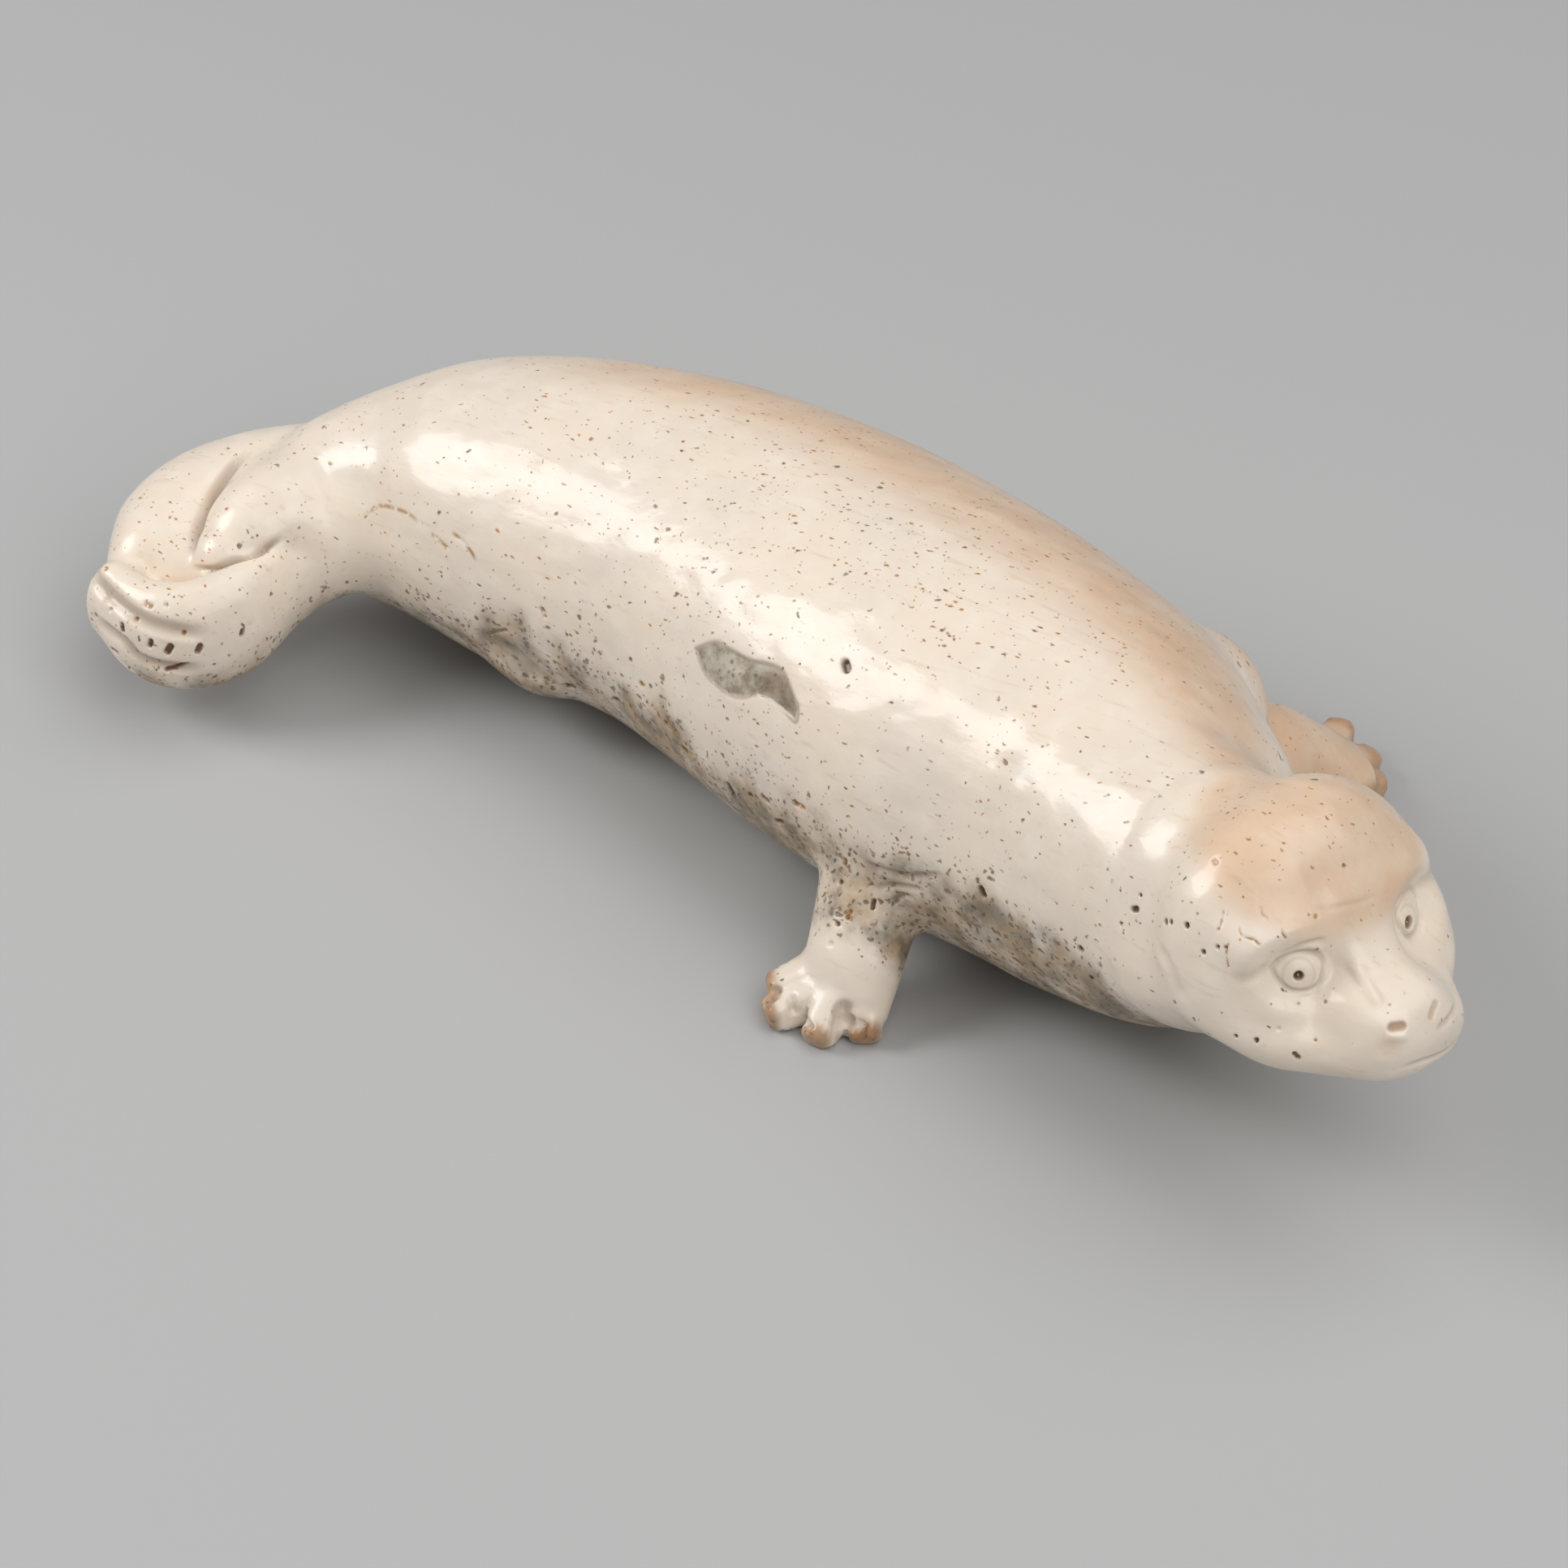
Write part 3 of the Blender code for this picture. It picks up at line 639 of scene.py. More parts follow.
def fore_limbs():
    neck = Egg((63.5, 6.0, 30.0), (13.0, 13.0, 13.0), melt=3.0)
    shoulder = Egg((47.6, 24.0, 25.6), (12.4, 15.3, 14.4), melt=2.5)
    right_leg = Limb(RIGHT_LEG, melt=2.4, sideways=np.array([1.0, 0.0, 0.0]))
    left_leg = Limb(LEFT_LEG, melt=3.5, sideways=FORWARD)
    return [right_leg, *toes(RIGHT_TOES), neck, shoulder, left_leg, *toes(LEFT_TOES)]


def nodding(angle):
    """The head's directions, with the nose turned down by this many degrees."""
    turn = math.radians(angle)
    forward = math.cos(turn) * FORWARD - math.sin(turn) * UPWARD
    return forward, LEFTWARD, math.cos(turn) * UPWARD + math.sin(turn) * FORWARD


def brow():
    """The ridge over both eyes, from cheek to cheek."""
    half = ((14.0, -5.2, 3.2, 2.2, 2.0), (10.0, -2.4, 4.3, 2.0, 1.8), (5.0, -2.0, 4.4, 1.8, 2.0))
    right = [(*on_head(forward, -side, up), *size) for side, forward, up, *size in half]
    left = [(*on_head(forward, side, up), *size) for side, forward, up, *size in reversed(half)]
    return Limb([*right, (*on_head(-1.8, 0.0, 4.4), 1.8, 2.2), *left], melt=4.0)


def head():
    bridge = [(*on_head(-3.0, 0.0, 0.2), 5.4, 4.8), (*on_head(1.4, 0.0, -1.5), 4.3, 4.2),
              (*on_head(5.6, 0.0, -3.4), 3.9, 3.6), (*on_head(9.6, 0.0, -5.0), 4.5, 3.0)]
    skull = Egg(on_head(-12.2, 0.2, -1.4), (13.4, 18.9, 16.0), melt=3.0, power=2.1)
    throat = Egg(on_head(-12.0, 0.0, -6.0), (11.5, 18.3, 12.1), melt=4.0)
    jowls = Egg(on_head(-4.2, 0.5, -7.7), (12.8, 18.4, 6.7), melt=5.0, power=2.2, axes=nodding(18.0))
    lips = Egg(on_head(5.1, 0.6, -9.4), (9.8, 10.2, 5.4), melt=4.0, power=2.4)
    nose = Limb(bridge, melt=4.2, power=3.2, sideways=LEFTWARD)
    nose_side = Egg(on_head(5.2, -5.4, -4.8), (5.0, 2.8, 3.0), melt=3.0)
    nose_tip = Egg(on_head(8.2, 0.0, -7.0), (5.4, 7.0, 4.2), melt=3.0)
    right_cheek = Egg(on_head(-5.2, -11.2, -3.0), (6.4, 5.4, 6.0), melt=4.0)
    left_cheek = Egg(on_head(-4.8, 12.2, -4.4), (6.4, 5.6, 6.2), melt=4.0)
    nape = Egg(on_head(-21.0, -5.0, -10.6), (11.0, 13.0, 9.4), melt=4.0)
    return [skull, throat, jowls, lips, nose, nose_side, nose_tip, right_cheek, left_cheek, brow(), nape]


class Eye:
    """One eye's place and directions: side is -1 on the seal's right and 1 on its left."""

    # The opening between the lids, towards the nose and up, from the outer corner round over the top.
    OPENING = ((-3.6, 0.9), (-2.8, 1.9), (-1.9, 2.5), (0.1, 2.8), (1.8, 2.5), (2.8, 1.9), (3.4, 0.9),
               (3.1, -0.4), (2.6, -1.7), (1.3, -2.3), (-0.4, -2.2), (-1.5, -1.7), (-2.7, -0.5))

    def __init__(self, side):
        forward, outward, up = GAZE
        self.side = side
        self.centre = on_head(0.0, side * EYE_SPREAD, -LEFT_EYE_DROP if side > 0 else 0.0)
        self.gaze = unit(forward * FORWARD + side * outward * LEFTWARD + up * UPWARD)
        self.up = unit(UPWARD - (UPWARD @ self.gaze) * self.gaze)
        self.inward = side * np.cross(self.gaze, self.up)
        self.axes = (self.gaze, self.inward, self.up)

    def at(self, inward, up, out=0.0):
        return self.centre + inward * self.inward + up * self.up + out * self.gaze

    def socket(self):
        return Egg(self.at(0.0, 0.0, SOCKET[0]), SOCKET, axes=self.axes)

    def ball(self):
        return Egg(self.at(0.0, 0.0, -EYEBALL_DEPTH), EYEBALL, melt=0.8, axes=self.axes)

    def line(self, places, *sizes, **looks):
        return Mark([self.at(*place) for place in places], *sizes, **looks)

    def marks(self):
        rim = [*self.OPENING, self.OPENING[0]]
        upper_lid = [(-3.4, 2.2), (-2.0, 3.3), (0.1, 3.7), (2.2, 3.3), (3.7, 2.2)]
        crease = [(-3.4, 2.9), (-2.4, 3.8), (-1.0, 4.5), (0.3, 4.7), (2.4, 4.5), (4.0, 4.1)]
        outer_corner = [(-3.4, 0.9), (-4.9, 1.2), (-6.4, 0.4), (-7.8, -0.7)]
        lower_lid = [(-2.6, -2.3), (-1.0, -3.2), (1.2, -3.4), (3.0, -2.4)]
        pupil, girth = ((0.0, -0.3), 0.74) if self.side < 0 else ((1.7, -0.2), 0.95)
        turns = np.linspace(0, 2 * math.pi, 10)
        iris = [(pupil[0] + 1.9 * math.cos(turn), pupil[1] + 1.9 * math.sin(turn)) for turn in turns]
        return [
            # The olive tint in the rim, the crease and the outer corner is painted shade in these grooves.
            self.line(rim, 0.6, 0.3, stain="olive_and_shade", amount=0.4, grain=0.22, fade=False),
            self.line(upper_lid, 0.9, -0.3, grain=0.3),
            self.line(crease, 0.6, 0.22, stain="olive_and_shade", amount=0.3, grain=0.25),
            self.line(outer_corner, 1.3, 0.22, stain="olive_and_shade", amount=0.3),
            self.line(lower_lid, 0.6, 0.10, grain=0.35),
            self.line(iris, 0.35, 0.05, stain="olive_and_shade", amount=0.22, grain=0.2, fade=False),
            self.line([pupil], 1.1, 0.12, stain="olive_and_shade", amount=0.25, grain=0.18),
            self.line([pupil], girth, 0.8, wall=0.3, stain="umber", grain=0.14),
            self.line([pupil], 0.24, -0.55, wall=0.12, stain="pearl", grain=0.1),
        ]


def head_mark(places, *sizes, **looks):
    return Mark([on_head(*place) for place in places], *sizes, **looks)


def face_marks():
    """Nostrils, lips and the cuts round them."""
    right_nostril = [(12.1, -4.5, -4.1), (12.7, -3.6, -4.0)]
    left_nostril = [(13.5, 0.6, -4.3), (13.2, 1.3, -3.7), (12.9, 2.1, -3.4)]
    nostril_edge = [(11.6, -5.4, -5.4), (12.6, -4.4, -5.3), (13.4, -3.0, -5.3)]
    lip_cut = [(12.4, 6.4, -6.2), (13.4, 4.4, -5.9), (13.9, 2.9, -6.0), (14.2, 0.6, -6.0)]
    brow_cut = [(-1.4, -6.7, 7.9), (-0.4, -4.8, 7.4), (0.3, -2.7, 7.1), (0.8, 0.7, 6.6), (0.8, 3.8, 6.1)]
    mouth = [(11.6, 8.4, -10.6), (13.6, 5.6, -10.6), (14.8, 2.0, -10.2), (15.0, -1.4, -9.5),
             (14.6, -3.3, -9.4), (13.9, -4.9, -9.4)]
    lip_hollow = [(12.8, -5.5, -6.5)]
    nose_edge = [(3.0, -3.7, 1.2), (5.2, -3.9, 0.2), (7.8, -4.2, -1.4), (10.2, -4.4, -2.8)]
    return [
        head_mark(right_nostril, 0.85, 0.24, wall=0.5, stain="scorch", amount=0.9, grain=0.25, fade=False),
        head_mark(left_nostril, 0.7, 0.24, wall=0.45, stain="scorch", amount=0.6, grain=0.25, fade=False),
        head_mark(nostril_edge, 0.9, -0.22, grain=0.4),
        # The olive tint in the lip and brow cuts is painted shade in these creases.
        head_mark(lip_cut, 0.8, 0.35, stain="olive_and_shade", amount=0.3, grain=0.35),
        head_mark(brow_cut, 0.5, 0.14, stain="olive_and_shade", amount=0.15, grain=0.35),
        head_mark(mouth, 0.6, 0.42, stain="umber", amount=0.25, grain=0.25),
        # The blush tint in this hollow is painted shade.
        head_mark(lip_hollow, 2.2, 0.3, stain="blush_and_shade", amount=0.3, grain=0.6),
        head_mark(nose_edge, 1.3, -0.4, grain=0.4),
    ]


def cuts():
    """The toes of the hind flippers, the cuts round the tail and the folds of the shoulders."""
    return [Mark(places, width, depth, stain=stain, amount=amount, grain=max(0.3, 0.4 * width))
            for places, width, depth, stain, amount in CUTS]


def pits():
    """Worm holes, pores that the knife has opened, and other small hollows."""
    made = []
    for make, rows, grain in ((head_mark, HEAD_PITS, 0.24), (Mark, BODY_PITS, 0.26)):
        for places, width, depth, stain in rows:
            made.append(make(places, width, depth, wall=0.4 * width, stain=stain, grain=grain, fade=False))
    return made


def worn_patch():
    """Where the dense bone is worn through to the spongy bone, brown at the edge and the front end."""
    bare = Panel(PATCH_MIDDLE, PATCH_OUT, PATCH_OUTLINE, rim=0.35, depth=0.22, stain="slate")
    front_end = [place for place in PATCH_OUTLINE if place[0] > 0]
    front = Panel(PATCH_MIDDLE, PATCH_OUT, front_end, rim=1.2, depth=0.0, stain="umber", amount=0.55)
    edge = [bare.at(place) for place in (*PATCH_OUTLINE, PATCH_OUTLINE[0])]
    return [bare, front, Mark(edge, 0.45, 0.1, stain="umber", amount=0.55, grain=0.3, fade=False)]


def whole_carving():
    """The seal's masses, with all that is cut into them."""
    eyes = [Eye(side) for side in (-1, 1)]
    masses = [Limb(TRUNK, melt=3.0), *hind_end(), *fore_limbs(), *head()]
    carving = Carving(masses, [eye.socket() for eye in eyes], [eye.ball() for eye in eyes])
    eye_marks = [mark for eye in eyes for mark in eye.marks()]
    carving.cut([*eye_marks, *face_marks(), *cuts(), *pits(), *worn_patch()])
    return carving


def apply_modifier(obj, kind, **settings):
    bpy.context.view_layer.objects.active = obj
    modifier = obj.modifiers.new(kind.title(), kind)
    for name, value in settings.items():
        setattr(modifier, name, value)
    bpy.ops.object.modifier_apply(modifier=modifier.name)


def points_of(obj):
    flat = np.empty(3 * len(obj.data.vertices))
    obj.data.vertices.foreach_get("co", flat)
    return flat.reshape(-1, 3)


def set_points(obj, points):
    obj.data.vertices.foreach_set("co", points.ravel())
    obj.data.update()


def edge_ends(obj):
    ends = np.empty(2 * len(obj.data.edges), np.int32)
    obj.data.edges.foreach_get("vertices", ends)
    return ends.reshape(-1, 2)


def even_out(obj, points):
    """Moves each point half-way to the middle of its neighbours."""
    ends = edge_ends(obj)
    ends = np.vstack([ends, ends[:, ::-1]])
    count = np.bincount(ends[:, 0], minlength=len(points))
    total = [np.bincount(ends[:, 0], points[ends[:, 1], axis], len(points)) for axis in range(3)]
    return (points + np.stack(total, 1) / count[:, None]) / 2


def block_out(name, carving):
    """The rough block: a ball or a row of balls for each mass."""
    first = carving.masses[0]
    bpy.ops.mesh.primitive_ico_sphere_add(subdivisions=3, radius=first.half.min(), location=first.middle[0])
    block = bpy.context.object
    block.name = name
    block.data.name = name
    bpy.ops.object.transform_apply(location=True, rotation=False, scale=False)
    bpy.ops.object.mode_set(mode="EDIT")
    for mass in carving.masses:
        mass.block_out()
    bpy.ops.object.mode_set(mode="OBJECT")
    return block


def split_long_edges(obj, carving):
    """Halves the edges that are too long for the detail near them."""
    ends = edge_ends(obj)
    points = points_of(obj)
    length = np.linalg.norm(points[ends[:, 0]] - points[ends[:, 1]], axis=1)
    too_long = length > STRETCH * carving.fineness(points[ends].mean(1))
    obj.data.vertices.foreach_set("select", np.zeros(len(points), bool))
    obj.data.polygons.foreach_set("select", np.zeros(len(obj.data.polygons), bool))
    obj.data.edges.foreach_set("select", too_long)
    bpy.ops.object.mode_set(mode="EDIT")
    bpy.ops.mesh.subdivide(number_cuts=1, ngon=False)
    bpy.ops.mesh.select_all(action="SELECT")
    bpy.ops.mesh.quads_convert_to_tris(quad_method="SHORTEST_DIAGONAL", ngon_method="BEAUTY")
    bpy.ops.mesh.beautify_fill(angle_limit=NEARLY_FLAT)
    bpy.ops.mesh.select_all(action="DESELECT")
    bpy.ops.object.mode_set(mode="OBJECT")


def settle_fine(obj, carving, steps, smooth):
    """Settles the points near details only, and evens them out first if asked."""
    points = points_of(obj)
    fine = carving.fineness(points) < FINE
    if smooth:
        points[fine] = even_out(obj, points)[fine]
    points[fine] = carving.settle(points[fine], steps=steps, longest_step=0.5)
    set_points(obj, points)


def carve(name, carving):
    """The carving's skin, fine enough for its marks, in millimetres."""
    skin = block_out(name, carving)
    marks, carving.marks = carving.marks, []
    bpy.context.scene.tool_settings.mesh_select_mode = (False, True, False)
    for grain in (ROUGHING, PLAIN):
        apply_modifier(skin, "REMESH", mode="VOXEL", voxel_size=grain)
        for _ in range(2):
            points = carving.settle(points_of(skin), steps=2)
            set_points(skin, even_out(skin, points))
        set_points(skin, carving.settle(points_of(skin), steps=2))
    apply_modifier(skin, "TRIANGULATE")
    carving.marks = marks
    for _ in range(SPLITS):
        split_long_edges(skin, carving)
        settle_fine(skin, carving, steps=2, smooth=True)
    settle_fine(skin, carving, steps=3, smooth=False)
    if len(skin.data.polygons) > MOST_TRIANGLES:
        apply_modifier(skin, "DECIMATE", ratio=MOST_TRIANGLES / len(skin.data.polygons))
    return skin


def blush_on(points):
    """The warm tint along the left of the back, over the forehead and on the left fore flipper."""
    trunk = np.asarray(TRUNK)
    place = np.stack([np.interp(points[:, 0], trunk[:, 0], trunk[:, axis]) for axis in (1, 2)], 1)
    turn = np.degrees(np.arctan2(points[:, 2] - place[:, 1], points[:, 1] - place[:, 0]))
    back = rise(turn, 100, 66) * rise(turn, 5, 50) * rise(points[:, 0], -68, -34)
    crown = Egg(on_head(-9.0, 2.0, 10.0), (15.0, 15.0, 8.0))
    forehead = rise(crown.distance(points), 3.2, -0.8)
    short_of_neck = rise(points[:, 0], 92, 80)
    left_foot = rise(points[:, 1], 27, 37)
    return np.maximum(np.maximum(0.85 * back * short_of_neck, 0.8 * forehead), 0.95 * left_foot)


def away_from_feet(points):
    feet = [np.linalg.norm(points - leg[-1][:3], axis=1) for leg in (RIGHT_LEG, LEFT_LEG)]
    return rise(np.minimum(*feet), 7, 12)


def porous_on(points):
    """Where the knife has gone through to the spongy bone, low on the sides and all below, which is also
    where painted shade darkens the carving.
    """
    line = np.asarray(SPONGY_AND_SHADED_LINE)
    level = np.interp(points[:, 0], line[:, 0], line[:, 1])
    waver = 1.3 * np.sin(0.41 * points[:, 0]) + 0.9 * np.sin(0.93 * points[:, 0] + 1.0)
    short_of_left_leg = rise(points[:, 1], 30, 22)
    return rise(points[:, 2] - level - waver, 8, -5) * short_of_left_leg * away_from_feet(points)


def pored_on(points):
    """How many pores show: most along the back, few on the head, hardly any on the face and feet."""
    trunk = rise(points[:, 0], 84, 72)
    on_back = np.exp(-((points[:, 0] - 5) / 48) ** 2) + rise(points[:, 0], -68, -82)
    behind_face = (points - on_head(-6.0, 0.0, 6.0)) @ unit(0.66 * UPWARD - 0.75 * FORWARD)
    crown = 0.5 * rise(behind_face, 0, 4) + 0.08
    return (trunk * (0.45 + 0.55 * on_back) + (1 - trunk) * crown) * away_from_feet(points)


def scorch_on(points):
    """The brown ends of the toes."""
    burnt = np.zeros(len(points))
    for pairs, start, end in ((RIGHT_TOES, 0.7, 2.2), (LEFT_TOES, -1.8, 0.8)):
        for root, tip in pairs:
            out = unit(np.subtract(tip, root) * (1.0, 1.0, 0.0))
            along = (points - tip) @ out
            aside = np.linalg.norm(points - tip - along[:, None] * out, axis=1)
            burnt = np.maximum(burnt, rise(along, start, end) * rise(aside, 4.6, 3.0))
    return burnt


def ash_on(points):
    """Grey ash on the bone, and painted shade on the belly and in the hollows under the chest and jaw."""
    grey = np.zeros(len(points))
    for place, reach in ASHEN_AND_SHADED:
        gap = np.linalg.norm(points - place, axis=1)
        grey = np.maximum(grey, rise(gap, 1.3 * reach, 0.3 * reach))
    return grey


def stain(skin, carving):
    """Stores at each point how much of each stain has gathered there."""
    points = points_of(skin)
    stains = {name: np.zeros(len(points)) for name in STAINS}
    for mark in carving.marks:
        if mark.stain:
            which, share = mark.share(points)
            stains[mark.stain][which] = np.maximum(stains[mark.stain][which], mark.amount * share)
    stains["blush_and_shade"] = np.maximum(stains["blush_and_shade"], blush_on(points))
    stains["scorch"] = np.maximum(stains["scorch"], scorch_on(points))
    # The spongy band and the grey ash also hold painted shade, low on the belly and under the chest and jaw.
    stains.update(porous=porous_on(points), pored=pored_on(points), ash=ash_on(points))
    for name, values in stains.items():
        skin.data.attributes.new(name, "FLOAT", "POINT").data.foreach_set("value", values)


def seal():
    """The whole carving in one piece."""
    carving = whole_carving()
    skin = carve("seal_carving", carving)
    stain(skin, carving)
    set_points(skin, (points_of(skin) - MIDDLE) * MILLIMETRE)
    skin.data.shade_smooth()
    return skin


class Nodes:
    """Puts one material's nodes together. It keeps the colour so far, for the next shade to lie on."""

    PORE_EDGE = 0.65                    # the share of a pore's radius over which it fades

    def __init__(self, name, colour):
        self.material = bpy.data.materials.new(name)
        self.material.use_nodes = True
        self.tree = self.material.node_tree
        self.shader = self.tree.nodes["Principled BSDF"]
        self.place = self.add("ShaderNodeTexCoord").outputs["Object"]
        self.colour = colour

    def plug(self, socket, value):
        if isinstance(value, bpy.types.NodeSocket):
            self.tree.links.new(value, socket)
        else:
            socket.default_value = value

    def add(self, kind, values=(), **settings):
        node = self.tree.nodes.new(kind)
        for name, setting in settings.items():
            setattr(node, name, setting)
        for name, value in dict(values).items():
            self.plug(node.inputs[name], value)
        return node

    def times(self, value, factor, plus=0.0):
        """The value times the factor, and some more if given, kept between 0 and 1."""
        values = {0: value, 1: factor, 2: plus}
        return self.add("ShaderNodeMath", values, operation="MULTIPLY_ADD", use_clamp=True).outputs[0]

    def raised(self, pattern, height, relief=0.0):
        """The relief, raised by this height where the pattern is 1."""
        values = {0: pattern, 1: height, 2: relief}
        return self.add("ShaderNodeMath", values, operation="MULTIPLY_ADD").outputs[0]

    def step(self, value, low, high):
        """Rises smoothly from 0 at low to 1 at high."""
        values = {"Value": value, "From Min": low, "From Max": high}
        return self.add("ShaderNodeMapRange", values, interpolation_type="SMOOTHSTEP").outputs["Result"]

    def mix(self, amount, below, above):
        node = self.add("ShaderNodeMix", data_type="RGBA")
        self.plug(node.inputs[0], amount)
        self.plug(node.inputs[6], below)
        self.plug(node.inputs[7], above)
        return node.outputs[2]

    def lay(self, amount, shade):
        """Lays a shade over the colour so far."""
        self.colour = self.mix(amount, self.colour, shade)

    def stretched(self, scale, place=None):
        return self.add("ShaderNodeMapping", {"Vector": place or self.place, "Scale": scale}).outputs[0]

    def noise(self, scale, detail=2.0, place=None, roughness=0.5):
        values = {"Vector": place or self.place, "Scale": scale, "Detail": detail, "Roughness": roughness}
        return self.add("ShaderNodeTexNoise", values).outputs["Fac"]

    def warped(self, scale, amount, place=None):
        """The coordinates, pushed about by a noise."""
        noise = self.add("ShaderNodeTexNoise", {"Vector": place or self.place, "Scale": scale, "Detail": 2.0})
        values = {0: noise.outputs["Color"], 1: (amount, amount, amount), 2: place or self.place}
        return self.add("ShaderNodeVectorMath", values, operation="MULTIPLY_ADD").outputs[0]

    def pores(self, place, radius, share):
        """Spots, in some of the cells: how much of a spot there is, and a number that differs by cell."""
        cells = self.add("ShaderNodeTexVoronoi", {"Vector": place, "Scale": 1.0})
        parts = self.add("ShaderNodeSeparateColor", {"Color": cells.outputs["Color"]}).outputs
        chosen = self.add("ShaderNodeMath", {0: parts[0], 1: share}, operation="LESS_THAN").outputs[0]
        size = self.times(self.step(parts[1], -0.4, 1.0), radius)
        gap = self.step(cells.outputs["Distance"], self.times(size, 1 - self.PORE_EDGE), size)
        return self.times(self.raised(gap, -1.0, 1.0), chosen), parts[2]

    def stored(self, name):
        return self.add("ShaderNodeAttribute", attribute_name=name).outputs["Fac"]


def tint(red, green, blue):
    """A colour given as a screen shows it, from 0 to 255."""
    return (*(((value / 255 + 0.055) / 1.055) ** 2.4 for value in (red, green, blue)), 1.0)


def cream_bone():
    """Dense bone: cream, blotched and flecked, warm along the back, and fibrous."""
    bone = Nodes("whalebone", tint(238, 221, 201))
    bone.lay(bone.step(bone.noise(55.0, 3.0), 0.36, 0.66), tint(232, 218, 202))
    fleck = bone.step(bone.noise(260.0, 3.0), 0.42, 0.72)
    bone.lay(bone.times(fleck, 0.5), tint(241, 230, 214))
    mottle = bone.step(bone.noise(110.0, 4.0, roughness=0.6), 0.3, 0.62)
    # The blush tint: the bone's warm tone along the back, forehead and left fore flipper, and painted shade
    # in the hollow under the right nostril.
    bone.lay(bone.times(bone.stored("blush_and_shade"), bone.times(mottle, 0.35, 0.65)), tint(222, 185, 150))
    fibre = bone.noise(1.0, 3.0, bone.stretched((130.0, 900.0, 900.0)))
    bone.lay(bone.step(fibre, 0.58, 0.80), bone.mix(0.3, bone.colour, tint(196, 166, 132)))
    return bone


def add_pores(bone):
    """Brown pores in the dense bone, long and round, more where the bone is crowded with them."""
    unruly = bone.warped(900.0, 0.0009)
    crowded = bone.step(bone.noise(42.0, 2.0), 0.34, 0.62)
    pored = bone.stored("pored")
    long_place = bone.stretched((440.0, 1050.0, 1050.0), place=unruly)
    dashes, kind = bone.pores(long_place, 0.27, bone.times(pored, bone.times(crowded, 0.75, 0.45)))
    brown = bone.mix(bone.step(kind, 0.6, 0.95), tint(176, 122, 62), tint(118, 78, 44))
    bone.lay(bone.times(dashes, 0.95), brown)
    round_place = bone.stretched((1050.0, 1050.0, 750.0), place=unruly)
    specks, kind = bone.pores(round_place, 0.25, bone.times(pored, bone.times(crowded, 0.7, 0.3)))
    brown = bone.mix(bone.step(kind, 0.6, 0.9), tint(176, 126, 72), tint(108, 84, 64))
    bone.lay(bone.times(specks, 0.9), brown)


def add_spongy_bone_and_shade(bone, cloud):
    """Grey-brown bone full of holes, low on the carving and darker there as painted shade, with grey ash and
    painted shade on it.
    """
    spongy_and_shaded = bone.times(bone.stored("porous"), bone.times(cloud, 0.6, 0.4))
    mottle = bone.step(bone.noise(240.0, 3.0), 0.35, 0.65)
    # The grey-brown here is spongy bone and, low on the carving, painted shade.
    bone.lay(bone.times(bone.step(spongy_and_shaded, 0.15, 0.85), 0.9),
             bone.mix(mottle, tint(180, 152, 116), tint(112, 98, 76)))
    place = bone.stretched((900.0, 1100.0, 820.0), place=bone.warped(700.0, 0.0018))
    holes, kind = bone.pores(place, 0.5, bone.step(spongy_and_shaded, -0.05, 0.55))
    bone.lay(bone.times(holes, 0.85),
             bone.mix(bone.step(kind, 0.3, 0.8), tint(142, 106, 70), tint(98, 82, 66)))
    # Grey over the ash places: ash on the bone, and painted shade under the belly, chest and jaw.
    dust_and_shade = bone.step(bone.noise(200.0, 4.0, roughness=0.65), 0.40, 0.62)
    bone.lay(bone.times(bone.times(bone.stored("ash"), dust_and_shade), 0.6), tint(150, 142, 128))
    return spongy_and_shaded, holes


def add_stains(bone, cloud):
    """Scorched toes, the worn patch and what has gathered in the marks, with painted shade in the creases of
    the eyes, lips and brow.
    """
    burnt = bone.mix(bone.noise(420.0, 3.0), tint(134, 86, 42), tint(194, 148, 98))
    bone.lay(bone.times(bone.stored("scorch"), bone.times(cloud, 0.4, 0.6)), burnt)
    worn = bone.step(bone.noise(330.0, 4.0, roughness=0.7), 0.35, 0.65)
    slate = bone.mix(worn, tint(134, 119, 98), tint(191, 181, 162))
    rings, _ = bone.pores(bone.warped(500.0, 0.4, bone.stretched((900.0, 900.0, 900.0))), 0.42, 0.8)
    slate = bone.mix(bone.times(rings, 0.8), slate, tint(98, 86, 66))
    bone.lay(bone.times(bone.stored("slate"), 0.95), slate)
    broken = bone.step(bone.noise(900.0, 2.0), 0.36, 0.56)
    # Olive: painted shade in the eye, lip and brow creases, and the bone's own grey-green in a few pits.
    bone.lay(bone.times(bone.stored("olive_and_shade"), 0.85), tint(150, 138, 112))
    bone.lay(bone.times(bone.stored("ochre"), broken), tint(176, 128, 70))
    bone.lay(bone.times(bone.stored("umber"), 0.95), tint(104, 68, 38))
    bone.lay(bone.stored("pearl"), tint(180, 146, 124))


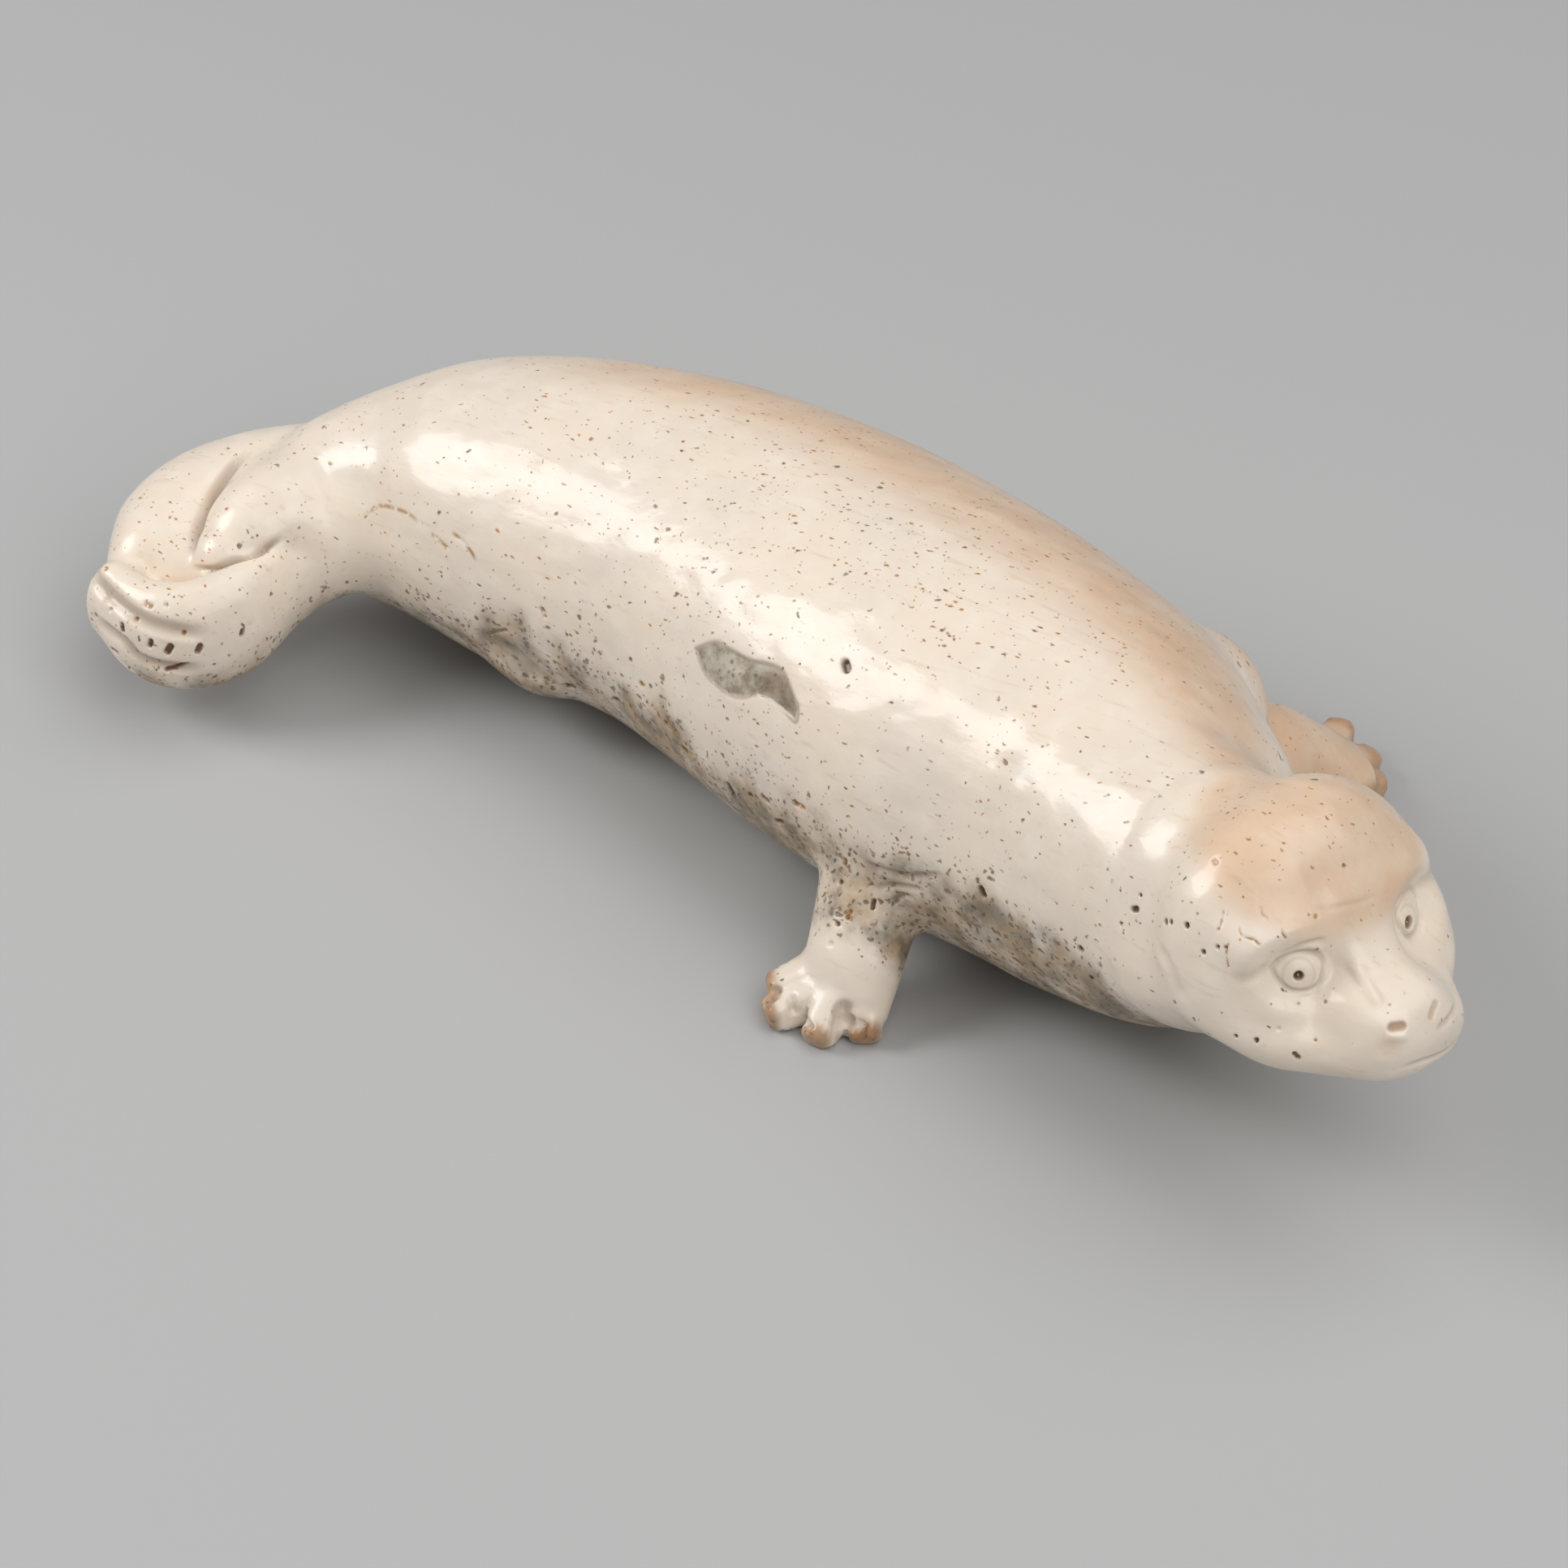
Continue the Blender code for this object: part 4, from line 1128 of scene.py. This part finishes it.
def whalebone():
    """Varnished whalebone: cream, warm along the back, pored, stained in its cuts and brown at the toes, with
    painted shade low on the body and in its creases.
    """
    bone = cream_bone()
    add_pores(bone)
    cloud = bone.step(bone.noise(90.0, 4.0, roughness=0.65), 0.33, 0.66)
    spongy_and_shaded, holes = add_spongy_bone_and_shade(bone, cloud)
    add_stains(bone, cloud)

    relief = bone.raised(bone.noise(1.0, 2.0, bone.stretched((60.0, 95.0, 95.0))), 0.7)
    relief = bone.raised(bone.noise(1.0, 3.0, bone.stretched((260.0, 520.0, 520.0))), 0.07, relief)
    relief = bone.raised(bone.noise(1.0, 0.0, bone.stretched((130.0, 240.0, 240.0))), 0.24, relief)
    relief = bone.raised(holes, -0.14, relief)
    bump = bone.add("ShaderNodeBump", {"Strength": 1.0, "Distance": MILLIMETRE, "Height": relief})
    bumpy = bump.outputs["Normal"]

    looks = {
        "Base Color": bone.colour,
        "Roughness": bone.times(spongy_and_shaded, 0.22, bone.times(bone.noise(120.0), 0.1, 0.36)),
        "IOR": 1.45,
        "Coat Weight": 0.42,
        "Coat Roughness": 0.12,
        "Coat IOR": 1.45,
        "Normal": bumpy,
        "Coat Normal": bumpy,
    }
    for name, value in looks.items():
        bone.plug(bone.shader.inputs[name], value)
    return bone.material


def pale_floor():
    bpy.ops.mesh.primitive_plane_add(size=FLOOR_WIDTH, location=(0.0, 0.0, 0.0))
    floor = bpy.context.object
    floor.name = "floor"
    material = bpy.data.materials.new("pale_floor")
    material.use_nodes = True
    shader = material.node_tree.nodes["Principled BSDF"]
    shader.inputs["Base Color"].default_value = FLOOR_COLOUR
    shader.inputs["Roughness"].default_value = 0.6
    floor.data.materials.append(material)
    return floor


def aim(obj, place, target):
    obj.location = place
    obj.rotation_euler = (Vector(target) - Vector(place)).to_track_quat("-Z", "Y").to_euler()


def soft_light(name, azimuth, elevation, distance, width, power):
    """A square soft light that looks at the carving."""
    light = bpy.data.lights.new(name, "AREA")
    light.shape = "RECTANGLE"
    light.size = width
    light.size_y = width
    light.energy = power
    lamp = bpy.data.objects.new(name, light)
    bpy.context.scene.collection.objects.link(lamp)
    turn = math.radians(azimuth)
    tilt = math.radians(elevation)
    way = Vector((math.cos(turn) * math.cos(tilt), math.sin(turn) * math.cos(tilt), math.sin(tilt)))
    aim(lamp, Vector(LIT_PLACE) + distance * way, LIT_PLACE)


def studio():
    for name, row in LIGHTS.items():
        soft_light(name, *row)
    world = bpy.data.worlds.new("studio_air")
    world.use_nodes = True
    world.node_tree.nodes["Background"].inputs["Color"].default_value = AIR_COLOUR
    world.node_tree.nodes["Background"].inputs["Strength"].default_value = AIR_GLOW
    bpy.context.scene.world = world
    bpy.context.scene.view_settings.view_transform = "Standard"


def camera():
    view = bpy.data.cameras.new("camera")
    view.lens = CAMERA_LENS
    view.sensor_width = CAMERA_SENSOR
    view.clip_start = 0.05
    holder = bpy.data.objects.new("camera", view)
    bpy.context.scene.collection.objects.link(holder)
    aim(holder, CAMERA_PLACE, CAMERA_TARGET)
    bpy.context.scene.camera = holder


def main():
    bpy.ops.object.select_all(action="DESELECT")
    camera()
    studio()
    pale_floor()
    bpy.ops.object.select_all(action="DESELECT")
    carving = seal()
    carving.data.materials.append(whalebone())
    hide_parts("seal")
    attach(carving, "root")


main()
